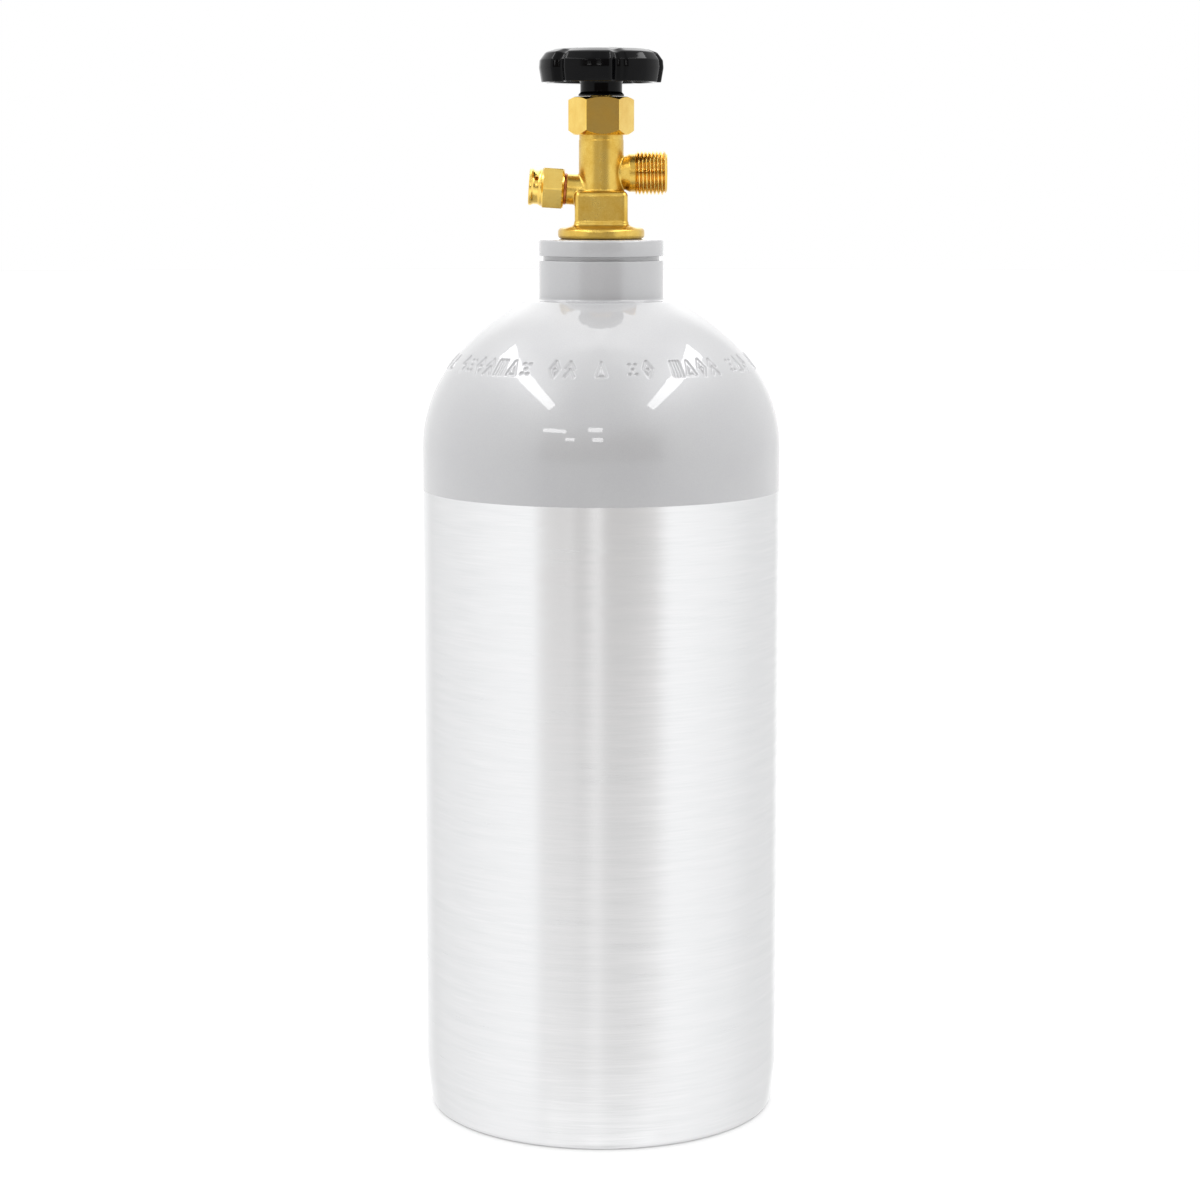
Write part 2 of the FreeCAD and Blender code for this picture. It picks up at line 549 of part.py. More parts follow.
# ---------------------------------------------------------------------------
# The pressure relief device, drawn along +Z from the face of its boss
# ---------------------------------------------------------------------------
def relief_device():
    """Copper washer, hexagonal plug with its vented end, bursting disc and the gasket behind it."""
    washer = ring("relief_washer", "relief_washer_bore", "relief_washer_radius",
                  "0", "relief_washer_thickness")
    point_outward(washer)
    gasket = ring("disc_gasket", "disc_gasket_bore", "disc_radius",
                  "-1 * relief_bore_depth", "disc_gasket_thickness - relief_bore_depth")
    point_outward(gasket)
    disc = new_body("burst_disc")
    turned(disc, "disc_stamping", [
        ("0", "disc_gasket_thickness - relief_bore_depth"),
        ("disc_radius", "disc_gasket_thickness - relief_bore_depth"),
        ("disc_radius", "disc_gasket_thickness + disc_thickness - relief_bore_depth"),
        ("0", "disc_gasket_thickness + disc_thickness - relief_bore_depth"),
    ])
    point_outward(disc)
    plug = new_body("relief_plug")
    corner = "( plug_hex_flats / 2 / cos( 30deg ) )"
    shank_end = "disc_gasket_thickness + disc_thickness - relief_bore_depth"
    turned(plug, "plug_turning", [
        ("plug_bore", shank_end),
        ("plug_shank_radius", shank_end),
        ("plug_shank_radius", "relief_washer_thickness"),
        ("plug_hex_flats / 2 - plug_edge", "relief_washer_thickness"),
        (corner, "relief_washer_thickness + plug_hex_bevel"),
        (corner, "plug_hex_end - plug_hex_bevel"),
        ("plug_hex_flats / 2 - plug_edge", "plug_hex_end"),
        ("plug_cap_radius", "plug_hex_end"),
        ("plug_cap_radius", "plug_hex_end + plug_edge", "-1 * plug_waist_curve"),
        ("plug_cap_radius", "plug_end - plug_rim"),
        ("plug_cap_radius", "plug_end - plug_edge"),
        ("plug_cap_radius - plug_edge", "plug_end"),
        ("0", "plug_end"),
        ("0", "plug_bore_end"),
        ("plug_bore", "plug_bore_end"),
    ])
    trim_to_hexagon(plug, "plug_flats", "plug_hex_flats", "0", "relief_washer_thickness",
                    "plug_hex_end", "plug_hex_flats")
    holes_round(plug, "vent", "YZ_Plane", ("0", "vent_position"), "vent_radius", "2 * plug_cap_radius",
                "vent_count", False)
    point_outward(plug)


# ---------------------------------------------------------------------------
# The bonnet: nut, gasket and thrust washers
# ---------------------------------------------------------------------------
def bonnet():
    """The nut that closes the valve, with the soft parts that it clamps."""
    nut = new_body("bonnet_nut")
    corner = "( nut_flats / 2 / cos( 30deg ) )"
    turned(nut, "nut_turning", [
        ("nut_thread_radius", "nut_bottom"),
        ("nut_face_radius", "nut_bottom"),
        (corner, "nut_bottom + nut_low_bevel"),
        (corner, "nut_top - nut_high_bevel"),
        ("nut_face_radius", "nut_top"),
        ("nut_bore", "nut_top"),
        ("nut_bore", "nut_web"),
        ("nut_thread_radius", "nut_web"),
    ])
    trim_to_hexagon(nut, "nut_flats", "nut_flats", "nut_yaw", "nut_bottom", "nut_top", "nut_flats")
    ring("bonnet_gasket", "gasket_inner", "gasket_outer", "tower_top", "nut_web")
    ring("lower_thrust_washer", "low_washer_bore", "washer_outer", "bonnet_recess_floor", "low_washer_top")
    ring("upper_thrust_washer", "high_washer_bore", "washer_outer", "high_washer_bottom", "high_washer_top")


# ---------------------------------------------------------------------------
# What turns: stem, handwheel and what holds them together
# ---------------------------------------------------------------------------
def operating_stem():
    """Square tang below, thrust collar, sealed journal, square drive and threaded end."""
    body = new_body("operating_stem")
    turned(body, "stem_turning", [
        ("0", "tang_top"),
        ("stem_journal_radius", "tang_top"),
        ("stem_journal_radius", "collar_bottom"),
        ("collar_radius", "collar_bottom"),
        ("collar_radius", "collar_top"),
        ("stem_radius", "collar_top"),
        ("stem_radius", "seal_groove_low"),
        ("seal_groove_radius", "seal_groove_low"),
        ("seal_groove_radius", "seal_groove_high"),
        ("stem_radius", "seal_groove_high"),
        ("stem_radius", "stem_shoulder"),
        ("stud_radius", "stem_shoulder"),
        ("stud_radius", "stem_top - stem_bevel"),
        ("stud_radius - stem_bevel", "stem_top"),
        ("0", "stem_top"),
    ])
    prism(body, "tang", regular(4, "tang_width", "0"), "tang_bottom", "tang_top")
    prism(body, "drive_square", regular(4, "drive_width", "0"), "stem_shoulder", "drive_top")
    o_ring("stem_o_ring", "stem_seal_radius", "stem_seal_height", "stem_seal_section")
    ring("stem_backup_ring", "seal_groove_radius", "backup_outer", "backup_low", "backup_high")


def handwheel():
    """A six-lobed wheel on a short hub, hollow underneath, with a recess on top for its fixing."""
    body = new_body("handwheel")
    turned(body, "wheel_turning", [
        ("stem_opening", "wheel_bottom"),
        ("hub_flare_radius", "wheel_bottom"),
        ("hub_flare_radius", "wheel_bottom + hub_flare_height"),
        ("hub_radius", "wheel_bottom + 2 * hub_flare_height"),
        ("hub_radius", "rim_bottom"),
        ("hollow_inner", "hollow_top"),
        ("rim_bottom_radius - 2 * rim_wall", "hollow_top"),
        ("rim_bottom_radius - rim_wall", "rim_bottom"),
        ("rim_bottom_radius", "rim_bottom"),
        ("rim_radius", "rim_widest"),
        ("rim_top_radius", "rim_top", "dome_round"),
        ("dome_edge_radius", "dome_edge_height"),
        ("recess_lip", "dome_top"),
        ("recess_radius", "dome_top - recess_bevel"),
        ("recess_radius", "drive_top"),
        ("stem_opening", "drive_top"),
    ])
    prism(body, "insert_seat", regular(6, "insert_flats", "0"), "insert_bottom", "drive_top", cut=True)
    holes_round(body, "notch", "XY_Plane",
                ("notch_distance * cos( notch_yaw * 1deg )", "notch_distance * sin( notch_yaw * 1deg )"),
                "notch_radius", "3 * dome_top", "lobe_count", True)


def handwheel_fixing():
    """Brass insert in the hub, and the springs, washer and nut that hold the wheel on the stem."""
    insert = new_body("handwheel_insert")
    prism(insert, "insert_bar", regular(6, "insert_flats", "0"), "insert_bottom", "drive_top")
    prism(insert, "insert_square", regular(4, "insert_hole", "0"), "insert_bottom", "drive_top", cut=True)

    upper_hub = "disc_spring_middle + disc_spring_sheet"
    for name, rim, hub in (("lower_disc_spring", "disc_spring_low", "disc_spring_middle"),
                           ("upper_disc_spring", "disc_spring_high", upper_hub)):
        spring = new_body(name)
        turned(spring, f"{name}_stamping", [
            ("disc_spring_bore", hub),
            ("disc_spring_radius", rim),
            ("disc_spring_radius", f"{rim} + disc_spring_sheet"),
            ("disc_spring_bore", f"{hub} + disc_spring_sheet"),
        ])

    ring("spring_washer", "top_bore", "top_washer_radius", "top_washer_low", "top_washer_high")
    nut = new_body("handwheel_nut")
    corner = "( top_nut_flats / 2 / cos( 30deg ) )"
    turned(nut, "top_nut_turning", [
        ("top_bore", "top_washer_high"),
        (corner, "top_washer_high"),
        (corner, "top_nut_high - top_nut_bevel"),
        ("top_nut_flats / 2 - top_nut_bevel / 3", "top_nut_high"),
        ("top_bore", "top_nut_high"),
    ])
    trim_to_hexagon(nut, "top_nut_flats", "top_nut_flats", "0", "top_washer_high", "top_nut_high",
                    "top_nut_flats")


# ---------------------------------------------------------------------------
# What slides: the seat carrier and its soft disc
# ---------------------------------------------------------------------------
def seat_plug():
    """The threaded plug that the stem turns up and down, and the soft disc that closes on the seat."""
    carrier = new_body("seat_carrier")
    pocket = "seat_disc_radius + seat_disc_gap"
    turned(carrier, "carrier_turning", [
        ("0", "seat_disc_top"),
        (pocket, "seat_disc_top"),
        (pocket, "carrier_bottom"),
        ("carrier_nose", "carrier_bottom"),
        ("carrier_nose", "carrier_step"),
        ("carrier_radius", "carrier_step + seat_slope"),
        ("carrier_radius", "carrier_top"),
        ("0", "carrier_top"),
    ])
    prism(carrier, "socket", regular(4, "carrier_socket_width", "0"), "carrier_socket_floor", "carrier_top",
          cut=True)
    disc = new_body("seat_disc")
    turned(disc, "seat_disc_turning", [
        ("0", "seat_height + seat_disc_gap"),
        ("seat_disc_radius", "seat_height + seat_disc_gap"),
        ("seat_disc_radius", "seat_disc_top"),
        ("0", "seat_disc_top"),
    ])


# ---------------------------------------------------------------------------
# Build, check and write
# ---------------------------------------------------------------------------
cylinder_shell()
neck_o_ring()
valve_body()
relief_device()
bonnet()
operating_stem()
handwheel()
handwheel_fixing()
seat_plug()
doc.recompute()

for item in doc.Objects:
    if "Invalid" in item.State or "Error" in item.State:
        raise RuntimeError(f"{item.Label} did not recompute: {item.State}")

os.makedirs("parts", exist_ok=True)
for part in SUB_PARTS:
    shape = part.Shape
    if shape.isNull() or not shape.isValid() or len(shape.Solids) != 1:
        raise RuntimeError(f"{part.Label} is not one valid solid")
    shape.exportStep(f"parts/{part.Label}.step")
    box = shape.BoundBox
    print(f"{part.Label:22s} volume {shape.Volume:12.1f}  x {box.XMin:8.2f} {box.XMax:8.2f}"
          f"  y {box.YMin:8.2f} {box.YMax:8.2f}  z {box.ZMin:8.2f} {box.ZMax:8.2f}")
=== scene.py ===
"""The looks of an upright aluminium gas cylinder with a brass shut-off valve and a black handwheel."""
import logging
import math
from dataclasses import dataclass, field
from enum import Enum
from typing import Callable, Iterable, Sequence, Union

import bmesh
import bpy
import numpy as np
from mathutils import Euler, Matrix, Vector


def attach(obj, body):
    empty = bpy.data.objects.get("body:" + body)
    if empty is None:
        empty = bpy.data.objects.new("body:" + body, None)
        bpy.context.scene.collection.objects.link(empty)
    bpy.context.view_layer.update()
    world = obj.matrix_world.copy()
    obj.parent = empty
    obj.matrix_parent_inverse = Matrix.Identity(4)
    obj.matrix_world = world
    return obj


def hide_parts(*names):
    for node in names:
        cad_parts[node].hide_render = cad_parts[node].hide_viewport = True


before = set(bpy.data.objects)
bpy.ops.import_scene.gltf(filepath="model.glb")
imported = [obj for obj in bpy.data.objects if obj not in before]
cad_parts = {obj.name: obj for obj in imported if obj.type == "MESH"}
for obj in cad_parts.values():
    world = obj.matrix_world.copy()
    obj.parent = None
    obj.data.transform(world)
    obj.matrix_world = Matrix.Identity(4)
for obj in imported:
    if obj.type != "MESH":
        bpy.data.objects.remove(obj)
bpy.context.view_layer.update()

LOG = logging.getLogger("gas_cylinder")
MM = 0.001
TAU = math.tau
Point = tuple[float, float]
Socket = bpy.types.NodeSocket
Tree = bpy.types.NodeTree
Piece = bpy.types.Object
Finish = bpy.types.Material
Value = Union[float, Socket, "Term"]


# ---------------------------------------------------------------------------
# Node and mesh tools
# ---------------------------------------------------------------------------
def linear(code: str) -> tuple[float, float, float, float]:
    """Turn an sRGB hex colour into the linear colour that a shader wants.

    Args:
        code: six hex digits, such as "D9A441".

    Returns:
        Red, green, blue and an alpha of 1.
    """
    parts = [int(code[i:i + 2], 16) / 255 for i in (0, 2, 4)]
    return (*[p / 12.92 if p <= 0.04045 else ((p + 0.055) / 1.055) ** 2.4 for p in parts], 1.0)


def add_node(tree: Tree, kind: str, sockets: dict | None = None, **settings: object) -> bpy.types.Node:
    """Add a node with its settings, its input values and its links.

    Args:
        tree: the node tree.
        kind: the node's type name.
        sockets: input name or number to a value, or to an output socket to link from.
        settings: attributes of the node itself.

    Returns:
        The new node.
    """
    node = tree.nodes.new(kind)
    for name, value in settings.items():
        setattr(node, name, value)
    for key, value in (sockets or {}).items():
        if isinstance(value, Term):
            value = value.socket
        if isinstance(value, Socket):
            tree.links.new(value, node.inputs[key])
        else:
            node.inputs[key].default_value = value
    return node


def mesh_object(name: str, vertices: Sequence, faces: Sequence) -> Piece:
    """Make an object at the origin from vertices in metres and faces.

    Args:
        name: the piece's name.
        vertices: points in metres.
        faces: tuples of vertex numbers.

    Returns:
        The linked object.
    """
    mesh = bpy.data.meshes.new(name)
    mesh.from_pydata([tuple(v) for v in vertices], [], [tuple(f) for f in faces])
    mesh.validate()
    piece = bpy.data.objects.new(name, mesh)
    bpy.context.scene.collection.objects.link(piece)
    return piece


def close_and_orient(piece: Piece, gap: float = 1e-6) -> None:
    """Merge doubled vertices, drop slivers and point every face outwards.

    Args:
        piece: the object to mend.
        gap: merging distance in metres.
    """
    work = bmesh.new()
    work.from_mesh(piece.data)
    bmesh.ops.remove_doubles(work, verts=work.verts, dist=gap)
    bmesh.ops.dissolve_degenerate(work, edges=work.edges, dist=gap)
    bmesh.ops.recalc_face_normals(work, faces=work.faces)
    work.to_mesh(piece.data)
    work.free()


def smooth_by_angle(piece: Piece, degrees: float = 32.0) -> None:
    """Shade smooth, with edges sharper than an angle kept crisp.

    Args:
        piece: the object to shade.
        degrees: the angle between faces above which an edge is sharp.
    """
    mesh = piece.data
    mesh.shade_smooth()
    mesh.set_sharp_from_angle(angle=math.radians(degrees))


def bake_modifiers(piece: Piece) -> None:
    """Turn the piece's modifiers into a plain mesh and remove them.

    Args:
        piece: the object whose evaluated mesh becomes its own.
    """
    evaluated = piece.evaluated_get(bpy.context.evaluated_depsgraph_get())
    plain = bpy.data.meshes.new_from_object(evaluated)
    old = piece.data
    piece.modifiers.clear()
    piece.data = plain
    plain.name = piece.name
    bpy.data.meshes.remove(old)


def run_tree(piece: Piece, tree: Tree, values: dict) -> None:
    """Put a Geometry Nodes tree on a piece, fill its named inputs and keep the result as a plain mesh.

    Args:
        piece: the object that carries the tree.
        tree: the Geometry Nodes tree.
        values: input name to value.
    """
    modifier = piece.modifiers.new(tree.name, "NODES")
    modifier.node_group = tree
    for item in tree.interface.items_tree:
        if item.item_type == "SOCKET" and item.in_out == "INPUT" and item.name in values:
            modifier[item.identifier] = values[item.name]
    piece.update_tag()
    bpy.context.view_layer.update()
    bake_modifiers(piece)


def new_tree(name: str, inputs: dict[str, str], with_geometry: bool = True) -> Tree:
    """Start a Geometry Nodes tree with named inputs.

    Args:
        name: the tree's name.
        inputs: input name to socket type.
        with_geometry: whether it takes the carrier's own geometry.

    Returns:
        The tree, holding its group input and output nodes.
    """
    tree = bpy.data.node_groups.new(name, "GeometryNodeTree")
    tree.interface.new_socket("Geometry", in_out="OUTPUT", socket_type="NodeSocketGeometry")
    if with_geometry:
        tree.interface.new_socket("Geometry", in_out="INPUT", socket_type="NodeSocketGeometry")
    for title, kind in inputs.items():
        tree.interface.new_socket(title, in_out="INPUT", socket_type=kind)
    tree.nodes.new("NodeGroupInput").name = "In"
    tree.nodes.new("NodeGroupOutput").name = "Out"
    return tree


def end_tree(tree: Tree, geometry: Socket) -> None:
    """End a tree in Realize Instances and Set Material.

    Args:
        tree: the tree.
        geometry: the geometry to hand out.
    """
    solid = add_node(tree, "GeometryNodeRealizeInstances", {"Geometry": geometry})
    dressed = add_node(tree, "GeometryNodeSetMaterial",
                       {"Geometry": solid.outputs[0], "Material": tree.nodes["In"].outputs["Material"]})
    tree.links.new(dressed.outputs[0], tree.nodes["Out"].inputs[0])


@dataclass(frozen=True)
class Term:
    """A number that a node tree works out, so that the tree's arithmetic reads like any other."""

    tree: Tree
    socket: Socket

    def __add__(self, other: Value) -> "Term":
        """This and another, added."""
        return math_node(self.tree, "ADD", self, other)

    def __sub__(self, other: Value) -> "Term":
        """This less another."""
        return math_node(self.tree, "SUBTRACT", self, other)

    def __rsub__(self, other: Value) -> "Term":
        """Another less this."""
        return math_node(self.tree, "SUBTRACT", other, self)

    def __mul__(self, other: Value) -> "Term":
        """This times another."""
        return math_node(self.tree, "MULTIPLY", self, other)

    def __truediv__(self, other: Value) -> "Term":
        """This over another."""
        return math_node(self.tree, "DIVIDE", self, other)

    def __neg__(self) -> "Term":
        """This with its sign changed."""
        return self * -1.0

    def __abs__(self) -> "Term":
        """The size of this, whatever its sign."""
        return math_node(self.tree, "ABSOLUTE", self)

    def at_least(self, other: Value) -> "Term":
        """The larger of this and another."""
        return math_node(self.tree, "MAXIMUM", self, other)

    def at_most(self, other: Value) -> "Term":
        """The smaller of this and another."""
        return math_node(self.tree, "MINIMUM", self, other)


def math_node(tree: Tree, operation: str, *values: Value) -> Term:
    """Add one step of arithmetic.

    Args:
        tree: the tree.
        operation: the Math node's operation.
        values: numbers, sockets or terms, in order.

    Returns:
        The result.
    """
    node = add_node(tree, "ShaderNodeMath", dict(enumerate(values)), operation=operation)
    return Term(tree, node.outputs[0])


def axes_of(tree: Tree, vector: Socket) -> tuple[Term, ...]:
    """The three parts of a vector, ready for arithmetic."""
    return tuple(Term(tree, part) for part in add_node(tree, "ShaderNodeSeparateXYZ", {0: vector}).outputs)


# ---------------------------------------------------------------------------
# Outlines and round shapes
# ---------------------------------------------------------------------------
@dataclass
class Outline:
    """A half section of a round piece, in millimetres, as (radius, height) corners with a rounding each."""

    corners: list[tuple[float, float, float]] = field(default_factory=list)
    arc_steps: int = 5

    def points(self) -> list[Point]:
        """The outline with every rounded corner drawn as an arc.

        Returns:
            Points (radius, height) in millimetres, in order.
        """
        result: list[Point] = []
        last = len(self.corners) - 1
        for index, (r, z, rounding) in enumerate(self.corners):
            if rounding <= 0 or index in (0, last):
                result.append((r, z))
                continue
            here = Vector((r, z))
            back = Vector(self.corners[index - 1][:2]) - here
            ahead = Vector(self.corners[index + 1][:2]) - here
            result += self._arc(here, back, ahead, rounding)
        return result

    def _arc(self, here: Vector, back: Vector, ahead: Vector, rounding: float) -> list[Point]:
        """Points of the arc that rounds one corner."""
        angle = back.angle(ahead)
        reach = min(rounding / math.tan(angle / 2), back.length * 0.49, ahead.length * 0.49)
        start = here + back.normalized() * reach
        end = here + ahead.normalized() * reach
        radius = reach * math.tan(angle / 2)
        centre = here + (back.normalized() + ahead.normalized()).normalized() * math.hypot(reach, radius)
        turn = (start - centre).angle_signed(end - centre)
        points = []
        for step in range(self.arc_steps + 1):
            spoke = (start - centre).copy()
            spoke.rotate(Matrix.Rotation(-turn * step / self.arc_steps, 2))
            points.append(tuple(centre + spoke))
        return points


def between(start: Point, end: Point, share: float) -> Point:
    """The point that lies a share of the way from one point to another."""
    return start[0] + (end[0] - start[0]) * share, start[1] + (end[1] - start[1]) * share


def lathe(name: str, outline: Sequence[Point], columns: int, closed: bool = False,
          reach: Callable[[float, float, float], Point] | None = None) -> Piece:
    """Turn an outline about the Z axis.

    Args:
        name: the piece's name.
        outline: (radius, height) points in millimetres.
        columns: how many steps round the axis.
        closed: whether the last point joins the first.
        reach: optional rule that takes radius, height and angle and gives the radius and height there.

    Returns:
        A closed, outward-facing object.
    """
    vertices: list[tuple[float, float, float]] = []
    faces: list[tuple[int, ...]] = []
    for r, z in outline:
        for column in range(columns):
            angle = TAU * column / columns
            rr, zz = reach(r, z, angle) if reach else (r, z)
            vertices.append((rr * math.cos(angle) * MM, rr * math.sin(angle) * MM, zz * MM))
    rows = len(outline)
    for row in range(rows if closed else rows - 1):
        low, high = row * columns, (row + 1) % rows * columns
        for column in range(columns):
            side = (column + 1) % columns
            faces.append((low + column, low + side, high + side, high + column))
    piece = mesh_object(name, vertices, faces)
    close_and_orient(piece)
    return piece


def hexagon_reach(across: float, rounding: float, facing: float) -> Callable[[float, float, float], Point]:
    """A rule that presses a round blank into a hexagon with softened corners.

    Args:
        across: size across flats in millimetres.
        rounding: radius of the softened upright edges.
        facing: direction in degrees that one flat faces.

    Returns:
        The rule for lathe().
    """
    def rule(r: float, z: float, angle: float) -> Point:
        """Keep a point inside the hexagon."""
        off = (angle - math.radians(facing) + math.pi / 6) % (math.pi / 3) - math.pi / 6
        flat = across / 2 / math.cos(off)
        corner = (across / 2 - rounding) / math.cos(math.pi / 6)
        away = math.pi / 6 - abs(off)
        tip = corner * math.cos(away) + math.sqrt(max(rounding ** 2 - (corner * math.sin(away)) ** 2, 0.0))
        inside = corner * math.sin(away) < rounding * 0.5
        return min(r, min(flat, tip) if inside else flat), z
    return rule


# ---------------------------------------------------------------------------
# Finishes
# ---------------------------------------------------------------------------
class Grain(Enum):
    """How a machined or cast surface was made, which sets the stretch of its grain."""

    TURNED = (1.0, 1.0, 14.0)
    BLASTED = (1.0, 1.0, 1.0)
    ROLLED = (1.0, 6.0, 1.0)


def start_material(name: str) -> tuple[Finish, Tree, bpy.types.Node]:
    """An empty node material with one Principled shader.

    Args:
        name: the finish's plain name.

    Returns:
        The material, its tree and the shader node.
    """
    material = bpy.data.materials.new(name)
    material.use_nodes = True
    tree = material.node_tree
    tree.nodes.clear()
    shader = add_node(tree, "ShaderNodeBsdfPrincipled")
    add_node(tree, "ShaderNodeOutputMaterial", {"Surface": shader.outputs[0]})
    return material, tree, shader


def noise(tree: Tree, vector: Socket, grain_mm: float, detail: float = 3.0) -> Socket:
    """Noise whose blotches are about the stated size.

    Args:
        tree: the material's tree.
        vector: coordinates in metres.
        grain_mm: the size of one blotch.
        detail: how many finer layers are added.

    Returns:
        The noise value, about 0 to 1.
    """
    return add_node(tree, "ShaderNodeTexNoise", {"Vector": vector, "Scale": 1 / (grain_mm * MM),
                                                 "Detail": detail, "Roughness": 0.55}).outputs[0]


def blend_colour(tree: Tree, factor: Socket, low: str, high: str,
                 span: Point = (0.3, 0.7)) -> Socket:
    """Mix two hex colours by a factor that is stretched over a span.

    Args:
        tree: the material's tree.
        factor: what drives the mix.
        low: colour at the span's low end.
        high: colour at its high end.
        span: the factor values where the mix starts and ends.

    Returns:
        The colour.
    """
    spread = add_node(tree, "ShaderNodeMapRange", {"Value": factor, "From Min": span[0], "From Max": span[1]})
    mix = add_node(tree, "ShaderNodeMix", {"Factor": spread.outputs[0]}, data_type="RGBA")
    mix.inputs[6].default_value = linear(low)
    mix.inputs[7].default_value = linear(high)
    return mix.outputs[2]


def ranged(tree: Tree, factor: Socket, low: float, high: float) -> Socket:
    """Spread the middle of a noise over a range of values."""
    return add_node(tree, "ShaderNodeMapRange", {"Value": factor, "From Min": 0.3, "From Max": 0.7,
                                                 "To Min": low, "To Max": high}).outputs[0]


def round_coordinates(tree: Tree) -> tuple[Socket, Socket]:
    """Coordinates that follow a round wall about the Z axis.

    Args:
        tree: the material's tree.

    Returns:
        A vector of (the unit direction's X and Y away from the axis, height in metres), and the sideways
        direction.
    """
    place = add_node(tree, "ShaderNodeTexCoord").outputs["Object"]
    axes = add_node(tree, "ShaderNodeSeparateXYZ", {0: place})
    flat = add_node(tree, "ShaderNodeCombineXYZ", {"X": axes.outputs[0], "Y": axes.outputs[1]})
    outward = add_node(tree, "ShaderNodeVectorMath", {0: flat.outputs[0]}, operation="NORMALIZE").outputs[0]
    parts = add_node(tree, "ShaderNodeSeparateXYZ", {0: outward})
    around = add_node(tree, "ShaderNodeVectorMath", {0: (0.0, 0.0, 1.0), 1: outward},
                      operation="CROSS_PRODUCT").outputs[0]
    unrolled = add_node(tree, "ShaderNodeCombineXYZ", {"X": parts.outputs[0], "Y": parts.outputs[1],
                                                       "Z": axes.outputs[2]}).outputs[0]
    return unrolled, around


@dataclass(frozen=True)
class BrushedAluminium:
    """Bare 6061 aluminium, belt-brushed round the axis: fine level lines smear each light up and down."""

    name: str = "brushed_aluminium"
    bright: str = "D8D8D9"
    dull: str = "D1D2D3"
    roughness: float = 0.25
    line_mm: float = 0.42
    line_length_mm: float = 24.0
    lean: float = 0.07
    wall_radius_mm: float = 87.5

    def material(self) -> Finish:
        """Make the material.

        Returns:
            A metal with level scratches in its colour, roughness and facing.
        """
        material, tree, shader = start_material(self.name)
        unrolled, around = round_coordinates(tree)
        # the unrolled vector is a unit circle sideways, so sideways scale is wall radius over line length
        stretch = self.wall_radius_mm / self.line_length_mm
        lines = add_node(tree, "ShaderNodeMapping", {
            "Vector": unrolled, "Scale": (stretch, stretch, 1 / (self.line_mm * MM))})
        fine = add_node(tree, "ShaderNodeTexNoise", {"Vector": lines.outputs[0], "Scale": 1.0, "Detail": 3.0,
                                                     "Roughness": 0.6}).outputs[0]
        wide = add_node(tree, "ShaderNodeMapping", {
            "Vector": unrolled, "Scale": (stretch * 0.6, stretch * 0.6, 1 / (self.line_mm * 9 * MM))})
        broad = add_node(tree, "ShaderNodeTexNoise", {"Vector": wide.outputs[0], "Scale": 1.0,
                                                      "Detail": 2.0}).outputs[0]
        both = Term(tree, fine) * 0.6 + Term(tree, broad) * 0.4
        tree.links.new(blend_colour(tree, both, self.dull, self.bright), shader.inputs["Base Color"])
        tree.links.new(ranged(tree, both, self.roughness + 0.03, self.roughness - 0.03),
                       shader.inputs["Roughness"])
        lean = (both - 0.5) * self.lean
        sideways = add_node(tree, "ShaderNodeVectorMath", {0: around, "Scale": lean}, operation="SCALE")
        facing = add_node(tree, "ShaderNodeNewGeometry").outputs["Normal"]
        leaned = add_node(tree, "ShaderNodeVectorMath", {0: facing, 1: sideways.outputs[0]}, operation="ADD")
        normal = add_node(tree, "ShaderNodeVectorMath", {0: leaned.outputs[0]}, operation="NORMALIZE")
        tree.links.new(normal.outputs[0], shader.inputs["Normal"])
        tangent = add_node(tree, "ShaderNodeTangent", direction_type="RADIAL", axis="Z").outputs[0]
        tree.links.new(tangent, shader.inputs["Tangent"])
        shader.inputs["Metallic"].default_value = 1.0
        shader.inputs["Anisotropic"].default_value = 0.95
        shader.inputs["Anisotropic Rotation"].default_value = 0.25
        return material


@dataclass(frozen=True)
class SilverLacquer:
    """Sprayed silver paint under clear gloss: fine flake spreads the light, the gloss adds sharp streaks."""

    name: str = "silver_lacquer"
    colour: str = "A0A0A1"
    shade: str = "9A9A9C"
    flake_mm: float = 0.45
    peel_mm: float = 3.5

    def material(self) -> Finish:
        """Make the material.

        Returns:
            A metallic paint with flake, an even clear coat and a very gentle ripple.
        """
        material, tree, shader = start_material(self.name)
        place = add_node(tree, "ShaderNodeTexCoord").outputs["Object"]
        flake = noise(tree, place, self.flake_mm, 1.0)
        cloud = noise(tree, place, 30.0)
        tone = Term(tree, flake) * 0.6 + Term(tree, cloud) * 0.4
        tree.links.new(blend_colour(tree, tone, self.shade, self.colour), shader.inputs["Base Color"])
        tree.links.new(ranged(tree, flake, 0.46, 0.40), shader.inputs["Roughness"])
        ripple = noise(tree, place, self.peel_mm, 1.0)
        bump = add_node(tree, "ShaderNodeBump", {"Height": ripple, "Strength": 0.25, "Distance": 0.03 * MM})
        tree.links.new(bump.outputs[0], shader.inputs["Normal"])
        tree.links.new(bump.outputs[0], shader.inputs["Coat Normal"])
        shader.inputs["Metallic"].default_value = 0.2
        shader.inputs["Coat Weight"].default_value = 1.0
        shader.inputs["Coat Roughness"].default_value = 0.03
        return material


